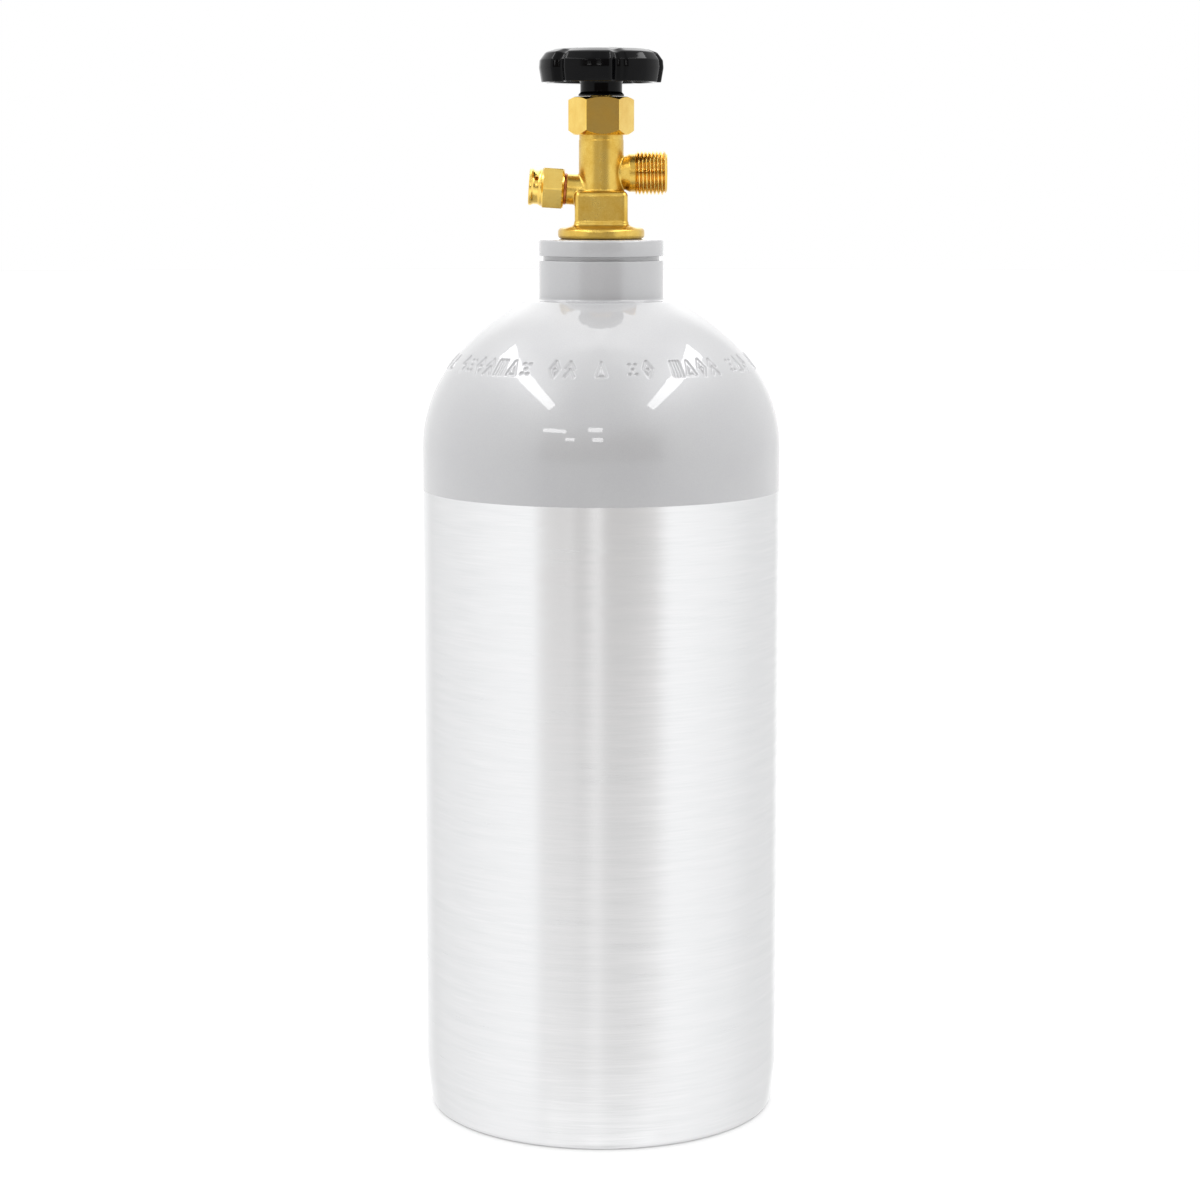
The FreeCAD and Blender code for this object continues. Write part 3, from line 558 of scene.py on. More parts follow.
@dataclass(frozen=True)
class Metal:
    """A bare metal surface: its grain follows how it was made, and its colour drifts a little."""

    name: str
    bright: str
    dull: str
    roughness: float
    grain: Grain
    grain_mm: float
    relief_mm: float

    def material(self) -> Finish:
        """Make the material.

        Returns:
            A metal with blotches, grain and matching roughness.
        """
        material, tree, shader = start_material(self.name)
        place = add_node(tree, "ShaderNodeTexCoord").outputs["Object"]
        stretched = add_node(tree, "ShaderNodeMapping", {"Vector": place, "Scale": self.grain.value})
        grain = noise(tree, stretched.outputs[0], self.grain_mm, 4.0)
        cloud = noise(tree, place, self.grain_mm * 14, 2.0)
        tone = Term(tree, grain) * 0.45 + Term(tree, cloud) * 0.55
        tree.links.new(blend_colour(tree, tone, self.dull, self.bright, (0.36, 0.64)),
                       shader.inputs["Base Color"])
        tree.links.new(ranged(tree, tone, self.roughness * 1.25, self.roughness * 0.8),
                       shader.inputs["Roughness"])
        bump = add_node(tree, "ShaderNodeBump", {"Height": grain, "Strength": 0.6,
                                                 "Distance": self.relief_mm * MM})
        tree.links.new(bump.outputs[0], shader.inputs["Normal"])
        shader.inputs["Metallic"].default_value = 1.0
        return material


@dataclass(frozen=True)
class Moulding:
    """A moulded or rubbery solid: one deep colour, a skin with a faint waviness."""

    name: str
    colour: str
    worn: str
    roughness: float
    coat: float
    grain_mm: float
    relief_mm: float
    sheen: float = 0.5

    def material(self) -> Finish:
        """Make the material.

        Returns:
            A plastic or rubber with slight variation in colour and gloss.
        """
        material, tree, shader = start_material(self.name)
        place = add_node(tree, "ShaderNodeTexCoord").outputs["Object"]
        cloud = noise(tree, place, self.grain_mm * 6, 3.0)
        grain = noise(tree, place, self.grain_mm, 3.0)
        tree.links.new(blend_colour(tree, cloud, self.colour, self.worn), shader.inputs["Base Color"])
        tree.links.new(ranged(tree, grain, self.roughness * 1.2, self.roughness * 0.85),
                       shader.inputs["Roughness"])
        bump = add_node(tree, "ShaderNodeBump", {"Height": grain, "Strength": 0.4,
                                                 "Distance": self.relief_mm * MM})
        tree.links.new(bump.outputs[0], shader.inputs["Normal"])
        shader.inputs["Specular IOR Level"].default_value = self.sheen
        shader.inputs["Coat Weight"].default_value = self.coat
        shader.inputs["Coat Roughness"].default_value = 0.05
        return material


# drop-forged brass, shot-blasted: soft golden skin with a sandy grain
FORGED_BRASS = Metal("forged_brass", "DABB62", "C29C42", 0.30, Grain.BLASTED, 0.5, 0.02)
# brass turned from bar: paler, with fine lines round the axis
TURNED_BRASS = Metal("turned_brass", "EACB70", "DDB557", 0.17, Grain.TURNED, 0.6, 0.005)
# annealed copper sheet: pink, dull
SOFT_COPPER = Metal("soft_copper", "C07A4C", "9C5A34", 0.38, Grain.BLASTED, 0.8, 0.01)
# zinc-plated steel: cool grey, lightly rolled
ZINC_PLATE = Metal("zinc_plated_steel", "C9CCD0", "AFB4BA", 0.30, Grain.ROLLED, 0.6, 0.006)
# glossy phenolic moulding: near black with a hard shine
BLACK_MOULDING = Moulding("black_phenolic", "020203", "050506", 0.09, 0.0, 1.2, 0.006, 0.10)
# black nitrile: dull and slightly dusty
SEAL_RUBBER = Moulding("nitrile_rubber", "161617", "232325", 0.62, 0.0, 0.6, 0.02)
# natural PTFE and nylon: milky, waxy
WHITE_POLYMER = Moulding("white_polymer", "E4E2DA", "D6D3C8", 0.45, 0.0, 1.0, 0.01)


def dress(piece: Piece, *materials: Finish) -> None:
    """Give a piece its materials, in slot order, and keep which face has which."""
    slots = np.zeros(len(piece.data.polygons), dtype=np.int32)
    piece.data.polygons.foreach_get("material_index", slots)
    piece.data.materials.clear()
    for material in materials:
        piece.data.materials.append(material)
    piece.data.polygons.foreach_set("material_index", slots)


def mount(piece: Piece, body: str, slot: str, *nodes: str) -> None:
    """Let a piece ride a body and stand for CAD nodes."""
    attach(piece, body)
    if nodes:
        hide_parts(*nodes)
    LOG.info("%s rides %s with %d faces", piece.name, body, len(piece.data.polygons))


# ---------------------------------------------------------------------------
# The cylinder
# ---------------------------------------------------------------------------
class Mark(Enum):
    """Generic stamped shapes, as strokes on a square of 2 by 2 about its centre. None is a letter."""

    TALLY = (((-0.9, -0.9), (-0.9, 0.9)), ((-0.3, -0.9), (-0.3, 0.9)), ((0.3, -0.9), (0.3, 0.9)),
             ((0.9, -0.9), (0.9, 0.9)))
    DIAMOND = (((0, 1), (0.85, 0), (0, -1), (-0.85, 0), (0, 1)), ((-0.1, 0), (0.1, 0)))
    CHEVRONS = (((-0.85, 0.05), (0, 0.95), (0.85, 0.05)), ((-0.85, -0.9), (0, 0), (0.85, -0.9)))
    TRIANGLE = (((-0.9, -0.8), (0.9, -0.8), (0, 0.9), (-0.9, -0.8)),)
    PIPS = (((-0.7, 0.6), (-0.5, 0.6)), ((0.5, 0.6), (0.7, 0.6)), ((-0.1, 0), (0.1, 0)),
            ((-0.7, -0.6), (-0.5, -0.6)), ((0.5, -0.6), (0.7, -0.6)))
    GAP = ()


@dataclass
class CylinderShell:
    """The spun shell: foot, brushed wall, lacquered shoulder with its stamped ring, neck and groove."""

    radius: float = 87.5
    foot_inner: float = 66.0
    foot_outer: float = 80.8
    foot_rounding: float = 5.2
    heel: Point = (85.8, 5.5)
    taper_height: float = 22.0
    paint_line: float = 308.5
    shoulder_start: float = 328.0
    shoulder_radius: float = 69.3
    shoulder_turn: float = 40.0
    crown_radius: float = 110.5
    crown_turn: float = 17.8
    ledge: Point = (37.6, 400.0)
    neck_radius: float = 30.3
    neck_top: float = 429.3
    groove: tuple[float, float, float] = (419.2, 421.3, 28.3)
    neck_bore: float = 14.3
    gland: Point = (17.0, 2.6)
    wall: float = 7.5
    floor: float = 12.0
    inner_dome: tuple[float, float, float] = (322.0, 72.0, 30.0)
    columns: int = 240
    stamp_columns: int = 6
    stamp_centre: float = 371.0
    stamp_height: float = 9.2
    stamp_rows: int = 38
    stroke: float = 0.78
    stamp_depth: float = 0.65
    mark_order: tuple[Mark, ...] = (
        Mark.TALLY, Mark.DIAMOND, Mark.CHEVRONS, Mark.TRIANGLE, Mark.GAP, Mark.DIAMOND, Mark.PIPS,
        Mark.DIAMOND, Mark.CHEVRONS, Mark.TALLY, Mark.TRIANGLE, Mark.PIPS, Mark.GAP, Mark.DIAMOND,
        Mark.CHEVRONS, Mark.GAP, Mark.TRIANGLE, Mark.GAP, Mark.PIPS, Mark.DIAMOND, Mark.GAP, Mark.TALLY,
        Mark.TRIANGLE, Mark.DIAMOND, Mark.CHEVRONS, Mark.GAP, Mark.PIPS, Mark.TRIANGLE, Mark.DIAMOND,
        Mark.GAP, Mark.CHEVRONS, Mark.TALLY, Mark.DIAMOND)
    mark_pitch: float = 7.3
    mark_width: float = 5.0

    def shoulder_point(self, along: float) -> Point:
        """A point of the shoulder at a distance along its curve.

        Args:
            along: millimetres up from the top of the straight wall.

        Returns:
            Radius and height.
        """
        turn = math.radians(self.shoulder_turn)
        first = self.shoulder_radius * turn
        centre = (self.radius - self.shoulder_radius, self.shoulder_start)
        if along <= first:
            angle = along / self.shoulder_radius
            return (centre[0] + self.shoulder_radius * math.cos(angle),
                    centre[1] + self.shoulder_radius * math.sin(angle))
        angle = turn + (along - first) / self.crown_radius
        shift = self.shoulder_radius - self.crown_radius
        return (centre[0] + shift * math.cos(turn) + self.crown_radius * math.cos(angle),
                centre[1] + shift * math.sin(turn) + self.crown_radius * math.sin(angle))

    def shoulder_length(self) -> float:
        """The shoulder's length along its curve."""
        return (self.shoulder_radius * math.radians(self.shoulder_turn)
                + self.crown_radius * math.radians(self.crown_turn))

    def stamp_middle(self) -> float:
        """Where along the shoulder the stamped ring's middle lies."""
        rise = self.stamp_centre - self.shoulder_start
        return self.shoulder_radius * math.asin(rise / self.shoulder_radius)

    def rows(self) -> list[tuple[float, float, bool]]:
        """Every ring of the shell from the floor's outside, over the neck and back inside.

        Returns:
            Radius, height and whether the ring has the fine columns of the stamped band.
        """
        dish = 2.5
        foot = Outline([(self.foot_inner, 0, 0), (self.foot_outer + 4.4, 0, self.foot_rounding),
                        (*self.heel, 0)], 6).points()
        outside = [(0.0, dish), (self.foot_inner / 2, dish / 2), *foot]
        outside += [(self.radius, self.taper_height)]
        climb = np.linspace(self.taper_height, self.paint_line, 14)[1:]
        outside += [(self.radius, float(z)) for z in climb]
        outside += [(self.radius, (self.paint_line + self.shoulder_start) / 2)]
        middle, half = self.stamp_middle(), self.stamp_height / 2 + 1.2
        below = np.linspace(0, middle - half, 26)
        above = np.linspace(middle + half, self.shoulder_length(), 16)
        band = np.linspace(middle - half, middle + half, self.stamp_rows)[1:-1]
        result = [(r, z, False) for r, z in outside]
        result += [(*self.shoulder_point(s), False) for s in below]
        result += [(*self.shoulder_point(s), True) for s in band]
        result += [(*self.shoulder_point(s), False) for s in above]
        low, high, root = self.groove
        neck = Outline([(*self.shoulder_point(self.shoulder_length()), 0), (*self.ledge, 1.5),
                        (self.neck_radius, self.ledge[1], 1.5), (self.neck_radius, low, 0.3),
                        (root, low, 0.3), (root, high, 0.3), (self.neck_radius, high, 0.35),
                        (self.neck_radius, self.neck_top, 1.3), (self.gland[0], self.neck_top, 0),
                        (self.gland[0], self.neck_top - self.gland[1], 0),
                        (self.neck_bore, self.neck_top - self.gland[1], 0)], 5).points()[1:]
        result += [(r, z, False) for r, z in neck]
        start, bend, end = self.inner_dome
        inner = self.radius - self.wall
        steps = np.linspace(math.acos((end - inner + bend) / bend), 0, 12)
        result += [(self.neck_bore, 395.6, False)]
        result += [(inner - bend + bend * math.cos(a), start + bend * math.sin(a), False) for a in steps]
        corner = 22.0
        steps = np.linspace(0, -math.pi / 2, 8)
        result += [(inner - corner + corner * math.cos(a), self.floor + corner + corner * math.sin(a), False)
                   for a in steps]
        result += [(0.0, self.floor, False)]
        return result

    def mesh(self) -> Piece:
        """Turn the rows into a closed shell whose stamped band is finer than the rest.

        Returns:
            The shell, with the brushed finish first and the lacquer second.
        """
        vertices: list[tuple[float, float, float]] = []
        faces: list[tuple[int, ...]] = []
        rings: list[tuple[int, int]] = []
        painted: list[bool] = []
        rows = self.rows()
        outer_top = max(i for i, row in enumerate(rows) if row[1] >= self.neck_top - 0.01)
        for r, z, fine in rows:
            count = 1 if r == 0 else self.columns * (self.stamp_columns if fine else 1)
            rings.append((len(vertices), count))
            for column in range(count):
                angle = TAU * column / count
                vertices.append((r * math.cos(angle) * MM, r * math.sin(angle) * MM, z * MM))
        for index in range(len(rows) - 1):
            new = self.strip(rings[index], rings[index + 1])
            faces += new
            lowest = min(rows[index][1], rows[index + 1][1])
            painted += [lowest >= self.paint_line - 0.01 and index < outer_top] * len(new)
        faces_piece = mesh_object("tank_shell", vertices, faces)
        for polygon, paint in zip(faces_piece.data.polygons, painted):
            polygon.material_index = int(paint)
        return faces_piece

    @staticmethod
    def strip(low: tuple[int, int], high: tuple[int, int]) -> list[tuple[int, ...]]:
        """Faces between two rings, whose counts are equal, 1, or multiples of each other.

        Args:
            low: first vertex and count of the lower ring.
            high: first vertex and count of the next ring.

        Returns:
            The faces, wound outwards.
        """
        (a, n), (b, m) = low, high
        if n == 1:
            return [(a, b + (i + 1) % m, b + i) for i in range(m)]
        if m == 1:
            return [(a + i, a + (i + 1) % n, b) for i in range(n)]
        if n == m:
            return [(a + i, a + (i + 1) % n, b + (i + 1) % m, b + i) for i in range(n)]
        if n < m:
            k = m // n
            return [(a + i, a + (i + 1) % n, *[b + (i * k + j) % m for j in range(k, -1, -1)])
                    for i in range(n)]
        k = n // m
        return [(*[a + (i * k + j) % n for j in range(k + 1)], b + (i + 1) % m, b + i) for i in range(m)]

    def strokes(self) -> Piece:
        """The centre lines of all stamped strokes, lying on the shoulder.

        Returns:
            A wire object, used only to press the marks in.
        """
        middle = self.stamp_middle()
        radius = self.shoulder_point(middle)[0]
        points: list[tuple[float, float, float]] = []
        edges: list[tuple[int, int]] = []
        first = -(len(self.mark_order) - 1) / 2 * self.mark_pitch
        for place, mark in enumerate(self.mark_order):
            for line in mark.value:
                before = None
                for u, v in self.divided(line):
                    across = first + place * self.mark_pitch + u * self.mark_width / 2
                    angle = -math.pi / 2 + across / radius
                    r, z = self.shoulder_point(middle + v * self.stamp_height / 2)
                    points.append((r * math.cos(angle) * MM, r * math.sin(angle) * MM, z * MM))
                    if before is not None:
                        edges.append((before, len(points) - 1))
                    before = len(points) - 1
        mesh = bpy.data.meshes.new("strokes")
        mesh.from_pydata(points, edges, [])
        wire = bpy.data.objects.new("strokes", mesh)
        bpy.context.scene.collection.objects.link(wire)
        return wire

    @staticmethod
    def divided(line: Sequence[Point]) -> Iterable[Point]:
        """A stroke's points with short steps between them, so that it follows the curved shoulder."""
        steps = 6
        for start, end in zip(line, line[1:]):
            yield from (between(start, end, step / steps) for step in range(steps))
        yield line[-1]

    @staticmethod
    def stamping_tree() -> Tree:
        """A tree that presses a surface in beside a set of lines, with soft edges.

        Returns:
            The Geometry Nodes tree.
        """
        tree = new_tree("press_marks", {"Lines": "NodeSocketObject", "Stroke": "NodeSocketFloat",
                                        "Depth": "NodeSocketFloat"})
        given = tree.nodes["In"].outputs
        lines = add_node(tree, "GeometryNodeObjectInfo", {"Object": given["Lines"]})
        near = add_node(tree, "GeometryNodeProximity", {"Geometry": lines.outputs["Geometry"]},
                        target_element="EDGES")
        stroke, depth = Term(tree, given["Stroke"]), Term(tree, given["Depth"])
        fade = add_node(tree, "ShaderNodeMapRange", {
            "Value": near.outputs["Distance"], "From Min": stroke * 0.35, "From Max": stroke * 1.5,
            "To Min": -depth, "To Max": 0.0}, interpolation_type="SMOOTHSTEP")
        normal = add_node(tree, "GeometryNodeInputNormal").outputs[0]
        inward = add_node(tree, "ShaderNodeVectorMath", {0: normal, "Scale": fade.outputs[0]},
                          operation="SCALE")
        moved = add_node(tree, "GeometryNodeSetPosition", {"Geometry": given["Geometry"],
                                                           "Offset": inward.outputs[0]})
        tree.links.new(moved.outputs[0], tree.nodes["Out"].inputs[0])
        return tree

    def build(self, brushed: Finish, lacquer: Finish) -> Piece:
        """Make the shell, press its marks and dress it.

        Args:
            brushed: finish of the bare wall.
            lacquer: finish of the shoulder and neck.

        Returns:
            The finished piece.
        """
        piece = self.mesh()
        wire = self.strokes()
        dress(piece, brushed, lacquer)
        run_tree(piece, self.stamping_tree(), {"Lines": wire, "Stroke": self.stroke * MM,
                                               "Depth": self.stamp_depth * MM})
        bpy.data.objects.remove(wire)
        smooth_by_angle(piece, 40)
        mount(piece, "cylinder", "cylinder_aluminium", "cylinder_shell")
        return piece


# ---------------------------------------------------------------------------
# The valve
# ---------------------------------------------------------------------------
@dataclass
class ValveForging:
    """The forged body as one blended solid: flange, wrench block, tower and the two bosses."""

    flange: tuple[float, float, float] = (20.9, 429.3, 434.6)
    flange_rounding: float = 1.9
    block_half: float = 12.75
    block: Point = (431.0, 452.3)
    block_rounding: float = 2.6
    tower_radius: float = 10.8
    tower: Point = (440.0, 486.9)
    step_height: float = 476.5
    bonnet_radius: float = 10.6
    outlet_height: float = 460.9
    outlet_radii: Point = (7.6, 9.1)
    outlet_cone: Point = (10.8, 13.8)
    outlet_length: float = 16.6
    outlet_bore: float = 4.0
    outlet_way_start: float = 5.0
    relief_face: Point = (-16.8, 453.2)
    relief_tilt: float = 3.75
    relief_radius: float = 7.3
    relief_length: float = 16.0
    flare: Point = (4.8, 2.9)
    blend: float = 1.6
    foot_blend: float = 0.8
    tower_blend: float = 1.4
    voxel: float = 0.3

    def tree(self) -> Tree:
        """A tree that fills a volume by a distance rule and wraps a mesh round it.

        Returns:
            The Geometry Nodes tree.
        """
        tree = new_tree("blended_forging", {"Blend": "NodeSocketFloat", "Material": "NodeSocketMaterial"},
                        with_geometry=False)
        given = tree.nodes["In"].outputs
        place = add_node(tree, "GeometryNodeInputPosition").outputs[0]
        metres = add_node(tree, "ShaderNodeVectorMath", {0: place, "Scale": 1 / MM}, operation="SCALE")
        x, y, z = axes_of(tree, metres.outputs[0])
        solid = self.disc(tree, x, y, z)
        for part, blend in ((self.foot, self.foot_blend), (self.wrench_block, given["Blend"]),
                            (self.upright, self.tower_blend), (self.outlet, given["Blend"]),
                            (self.relief, given["Blend"])):
            solid = math_node(tree, "SMOOTH_MIN", solid, part(tree, x, y, z), blend)
        solid = solid.at_least(self.outlet_way(tree, x, y, z))
        low, high = self.limits()
        level = 10.0  # any distance beyond the largest rounding, since a volume keeps only what is above 0
        filled = add_node(tree, "GeometryNodeVolumeCube", {
            "Density": level - solid, "Background": 0.0,
            "Min": [v * MM for v in low], "Max": [v * MM for v in high]})
        for axis, name in enumerate(("Resolution X", "Resolution Y", "Resolution Z")):
            filled.inputs[name].default_value = round((high[axis] - low[axis]) / self.voxel) + 1
        wrapped = add_node(tree, "GeometryNodeVolumeToMesh", {
            "Volume": filled.outputs[0], "Threshold": level}, resolution_mode="GRID")
        end_tree(tree, wrapped.outputs[0])
        return tree

    def limits(self) -> tuple[tuple[float, float, float], tuple[float, float, float]]:
        """The corners of the space that holds the forging, with a margin."""
        reach = self.flange[0] + 1.5
        return (-reach, -reach, self.flange[1] - 1.5), (reach, reach, self.tower[1] + 1.5)

    @staticmethod
    def radial(tree: Tree, a: Term, b: Term) -> Term:
        """Distance from an axis, given the two sideways coordinates."""
        flat = add_node(tree, "ShaderNodeCombineXYZ", {"X": a, "Y": b})
        length = add_node(tree, "ShaderNodeVectorMath", {0: flat.outputs[0]}, operation="LENGTH")
        return Term(tree, length.outputs["Value"])

    @staticmethod
    def rounded(tree: Tree, excess: Sequence[Term], rounding: float) -> Term:
        """Distance to a solid whose faces are that far off, with its edges rounded.

        Args:
            tree: the tree.
            excess: distance beyond each pair of faces, two or three of them.
            rounding: radius of the edges.

        Returns:
            The signed distance.
        """
        grown = [e + rounding for e in excess]
        outside = [g.at_least(0.0) for g in grown]
        corner = add_node(tree, "ShaderNodeCombineXYZ", dict(zip("XYZ", outside)))
        beyond = add_node(tree, "ShaderNodeVectorMath", {0: corner.outputs[0]}, operation="LENGTH")
        deepest = grown[0]
        for g in grown[1:]:
            deepest = deepest.at_least(g)
        return Term(tree, beyond.outputs["Value"]) + deepest.at_most(0.0) - rounding

    @staticmethod
    def between(value: Term, low: float, high: float) -> Term:
        """How far a coordinate is beyond a span; negative inside."""
        return abs(value - (low + high) / 2) - (high - low) / 2

    def disc(self, tree: Tree, x: Term, y: Term, z: Term) -> Term:
        """The flange."""
        radius, low, high = self.flange
        side = self.radial(tree, x, y) - radius
        return self.rounded(tree, [side, self.between(z, low, high)], self.flange_rounding)

    def foot(self, tree: Tree, x: Term, y: Term, z: Term) -> Term:
        """The hollow-curved flare that carries the square block on the round flange."""
        spread, rise = self.flare
        start = self.flange[2] - 0.3
        share = ((start + rise) - z) / rise
        reach = math_node(tree, "POWER", share.at_least(0.0), 2.2) * spread
        half = self.block_half
        faces = [self.between(x, -half, half), self.between(y, -half, half)]
        square = self.rounded(tree, faces, self.block_rounding)
        side = (square - reach) * 0.6
        round_limit = self.radial(tree, x, y) - (self.flange[0] - 1.6)
        return side.at_least(round_limit).at_least(self.between(z, start - 1, start + rise))

    def wrench_block(self, tree: Tree, x: Term, y: Term, z: Term) -> Term:
        """The square block that a wrench holds."""
        half = self.block_half
        faces = [self.between(x, -half, half), self.between(y, -half, half), self.between(z, *self.block)]
        return self.rounded(tree, faces, self.block_rounding)

    def upright(self, tree: Tree, x: Term, y: Term, z: Term) -> Term:
        """The round tower, a little slimmer where the bonnet nut screws on."""
        slim = math_node(tree, "GREATER_THAN", z, self.step_height)
        radius = self.tower_radius - slim * (self.tower_radius - self.bonnet_radius)
        side = self.radial(tree, x, y) - radius
        return side.at_least(self.between(z, *self.tower))

    def outlet(self, tree: Tree, x: Term, y: Term, z: Term) -> Term:
        """The boss behind the outlet thread, which opens like a cone from the tower's side."""
        inner, outer = self.outlet_radii
        start, end = self.outlet_cone
        radius = ((x - start) * ((outer - inner) / (end - start)) + inner).at_most(outer)
        side = self.radial(tree, y, z - self.outlet_height) - radius
        return side.at_least(self.between(x, 0.0, self.outlet_length))

    def relief(self, tree: Tree, x: Term, y: Term, z: Term) -> Term:
        """The tilted boss that takes the relief plug."""
        cosine, sine = (f(math.radians(self.relief_tilt)) for f in (math.cos, math.sin))
        dx, dz = x - self.relief_face[0], z - self.relief_face[1]
        inward = dx * cosine - dz * sine
        across = dx * sine + dz * cosine
        side = self.radial(tree, y, across) - self.relief_radius
        return self.rounded(tree, [side, self.between(inward, 0.0, self.relief_length)], 0.4)

    def outlet_way(self, tree: Tree, x: Term, y: Term, z: Term) -> Term:
        """What lies outside the outlet's bore, as a limit on the solid."""
        inside = self.outlet_bore - self.radial(tree, y, z - self.outlet_height)
        beyond = self.outlet_way_start - x
        return -(-inside).at_least(beyond)

    def build(self, finish: Finish) -> Piece:
        """Make the forging above the cylinder's neck.

        Args:
            finish: the forged brass.

        Returns:
            The finished piece.
        """
        piece = mesh_object("valve_forging", [], [])
        run_tree(piece, self.tree(), {"Blend": self.blend, "Material": finish})
        close_and_orient(piece)
        piece.data.shade_smooth()
        dress(piece, finish)
        mount(piece, "cylinder", "forged_brass", "valve_body")
        return piece


@dataclass
class OutletThread:
    """The threaded end of the outlet: a true helix with flat crests, a bevelled end and the gas way."""

    start: float = 16.0
    end: float = 31.7
    crest: float = 10.48
    root: float = 8.9
    pitch: float = 1.8143
    flank: Point = (0.16, 0.46)
    neck: float = 8.3
    bevel: float = 1.5
    bore: float = 4.0
    bore_start: float = 5.0
    height: float = 460.9
    columns: int = 96
    rows: int = 158

    def tree(self) -> Tree:
        """A tree that rolls a grid into a tube and cuts the helix into it.

        Returns:
            The Geometry Nodes tree.
        """
        sizes = ("Start", "End", "Crest", "Root", "Pitch", "Neck", "Bevel", "Height")
        tree = new_tree("rolled_thread", {**{name: "NodeSocketFloat" for name in sizes},
                                          "Material": "NodeSocketMaterial"}, with_geometry=False)
        given = {name: Term(tree, tree.nodes["In"].outputs[name]) for name in sizes}
        grid = add_node(tree, "GeometryNodeMeshGrid", {
            "Size X": 1.0, "Size Y": 1.0, "Vertices X": self.rows, "Vertices Y": self.columns + 1})
        place = axes_of(tree, add_node(tree, "GeometryNodeInputPosition").outputs[0])
        along = given["Start"] + (place[0] + 0.5) * (given["End"] - given["Start"])
        turn = place[1] + 0.5
        phase = math_node(tree, "FRACT", along / given["Pitch"] - turn)
        flat, foot = self.flank
        ridge = add_node(tree, "ShaderNodeMapRange", {
            "Value": abs(phase - 0.5), "From Min": flat, "From Max": foot,
            "To Min": given["Crest"], "To Max": given["Root"]})
        runout = given["Neck"] + (along - given["Start"]) * 3.0
        cone = given["Crest"] - given["Bevel"] + (given["End"] - along)
        radius = Term(tree, ridge.outputs[0]).at_most(runout.at_most(cone))
        angle = turn * TAU
        side = radius * math_node(tree, "COSINE", angle)
        up = given["Height"] + radius * math_node(tree, "SINE", angle)
        target = add_node(tree, "ShaderNodeCombineXYZ", {"X": along, "Y": side, "Z": up})
        metres = add_node(tree, "ShaderNodeVectorMath", {0: target.outputs[0], "Scale": MM},
                          operation="SCALE")
        rolled = add_node(tree, "GeometryNodeSetPosition", {"Geometry": grid.outputs[0],
                                                            "Position": metres.outputs[0]})
        end_tree(tree, rolled.outputs[0])
        return tree

    def lining(self) -> tuple[list, list]:
        """The sealing face, the bore and the blind back that close the thread's tube.

        Returns:
            Vertices in metres and faces.
        """
        back = self.bore + 0.6
        steps = [(self.end, self.crest - self.bevel), (self.end, 5.2), (self.end - 0.5, self.bore),
                 (self.bore_start, self.bore), (self.bore_start, back), (self.start, back),
                 (self.start, self.neck)]
        vertices = [(x * MM, r * math.cos(TAU * c / self.columns) * MM,
                     (self.height + r * math.sin(TAU * c / self.columns)) * MM)
                    for x, r in steps for c in range(self.columns)]
        faces = [(row * self.columns + c, row * self.columns + (c + 1) % self.columns,
                  (row + 1) * self.columns + (c + 1) % self.columns, (row + 1) * self.columns + c)
                 for row in range(len(steps) - 1) for c in range(self.columns)]
        return vertices, faces

    def build(self, finish: Finish) -> Piece:
        """Make the threaded end.

        Args:
            finish: the machined brass.

        Returns:
            The finished piece.
        """
        piece = mesh_object("outlet_thread", [], [])
        run_tree(piece, self.tree(), {
            "Start": self.start, "End": self.end, "Crest": self.crest, "Root": self.root, "Pitch": self.pitch,
            "Neck": self.neck, "Bevel": self.bevel, "Height": self.height, "Material": finish})
        lining = mesh_object("outlet_lining", *self.lining())
        join(piece, lining)
        close_and_orient(piece, 5e-6)
        smooth_by_angle(piece, 28)
        dress(piece, finish)
        mount(piece, "cylinder", "turned_brass")
        return piece


def join(piece: Piece, *others: Piece) -> None:
    """Put other objects' meshes into a piece and remove them.

    Args:
        piece: the object that keeps everything.
        others: the objects that are used up.
    """
    work = bmesh.new()
    work.from_mesh(piece.data)
    for other in others:
        work.from_mesh(other.data)
        bpy.data.objects.remove(other)
    work.to_mesh(piece.data)
    work.free()


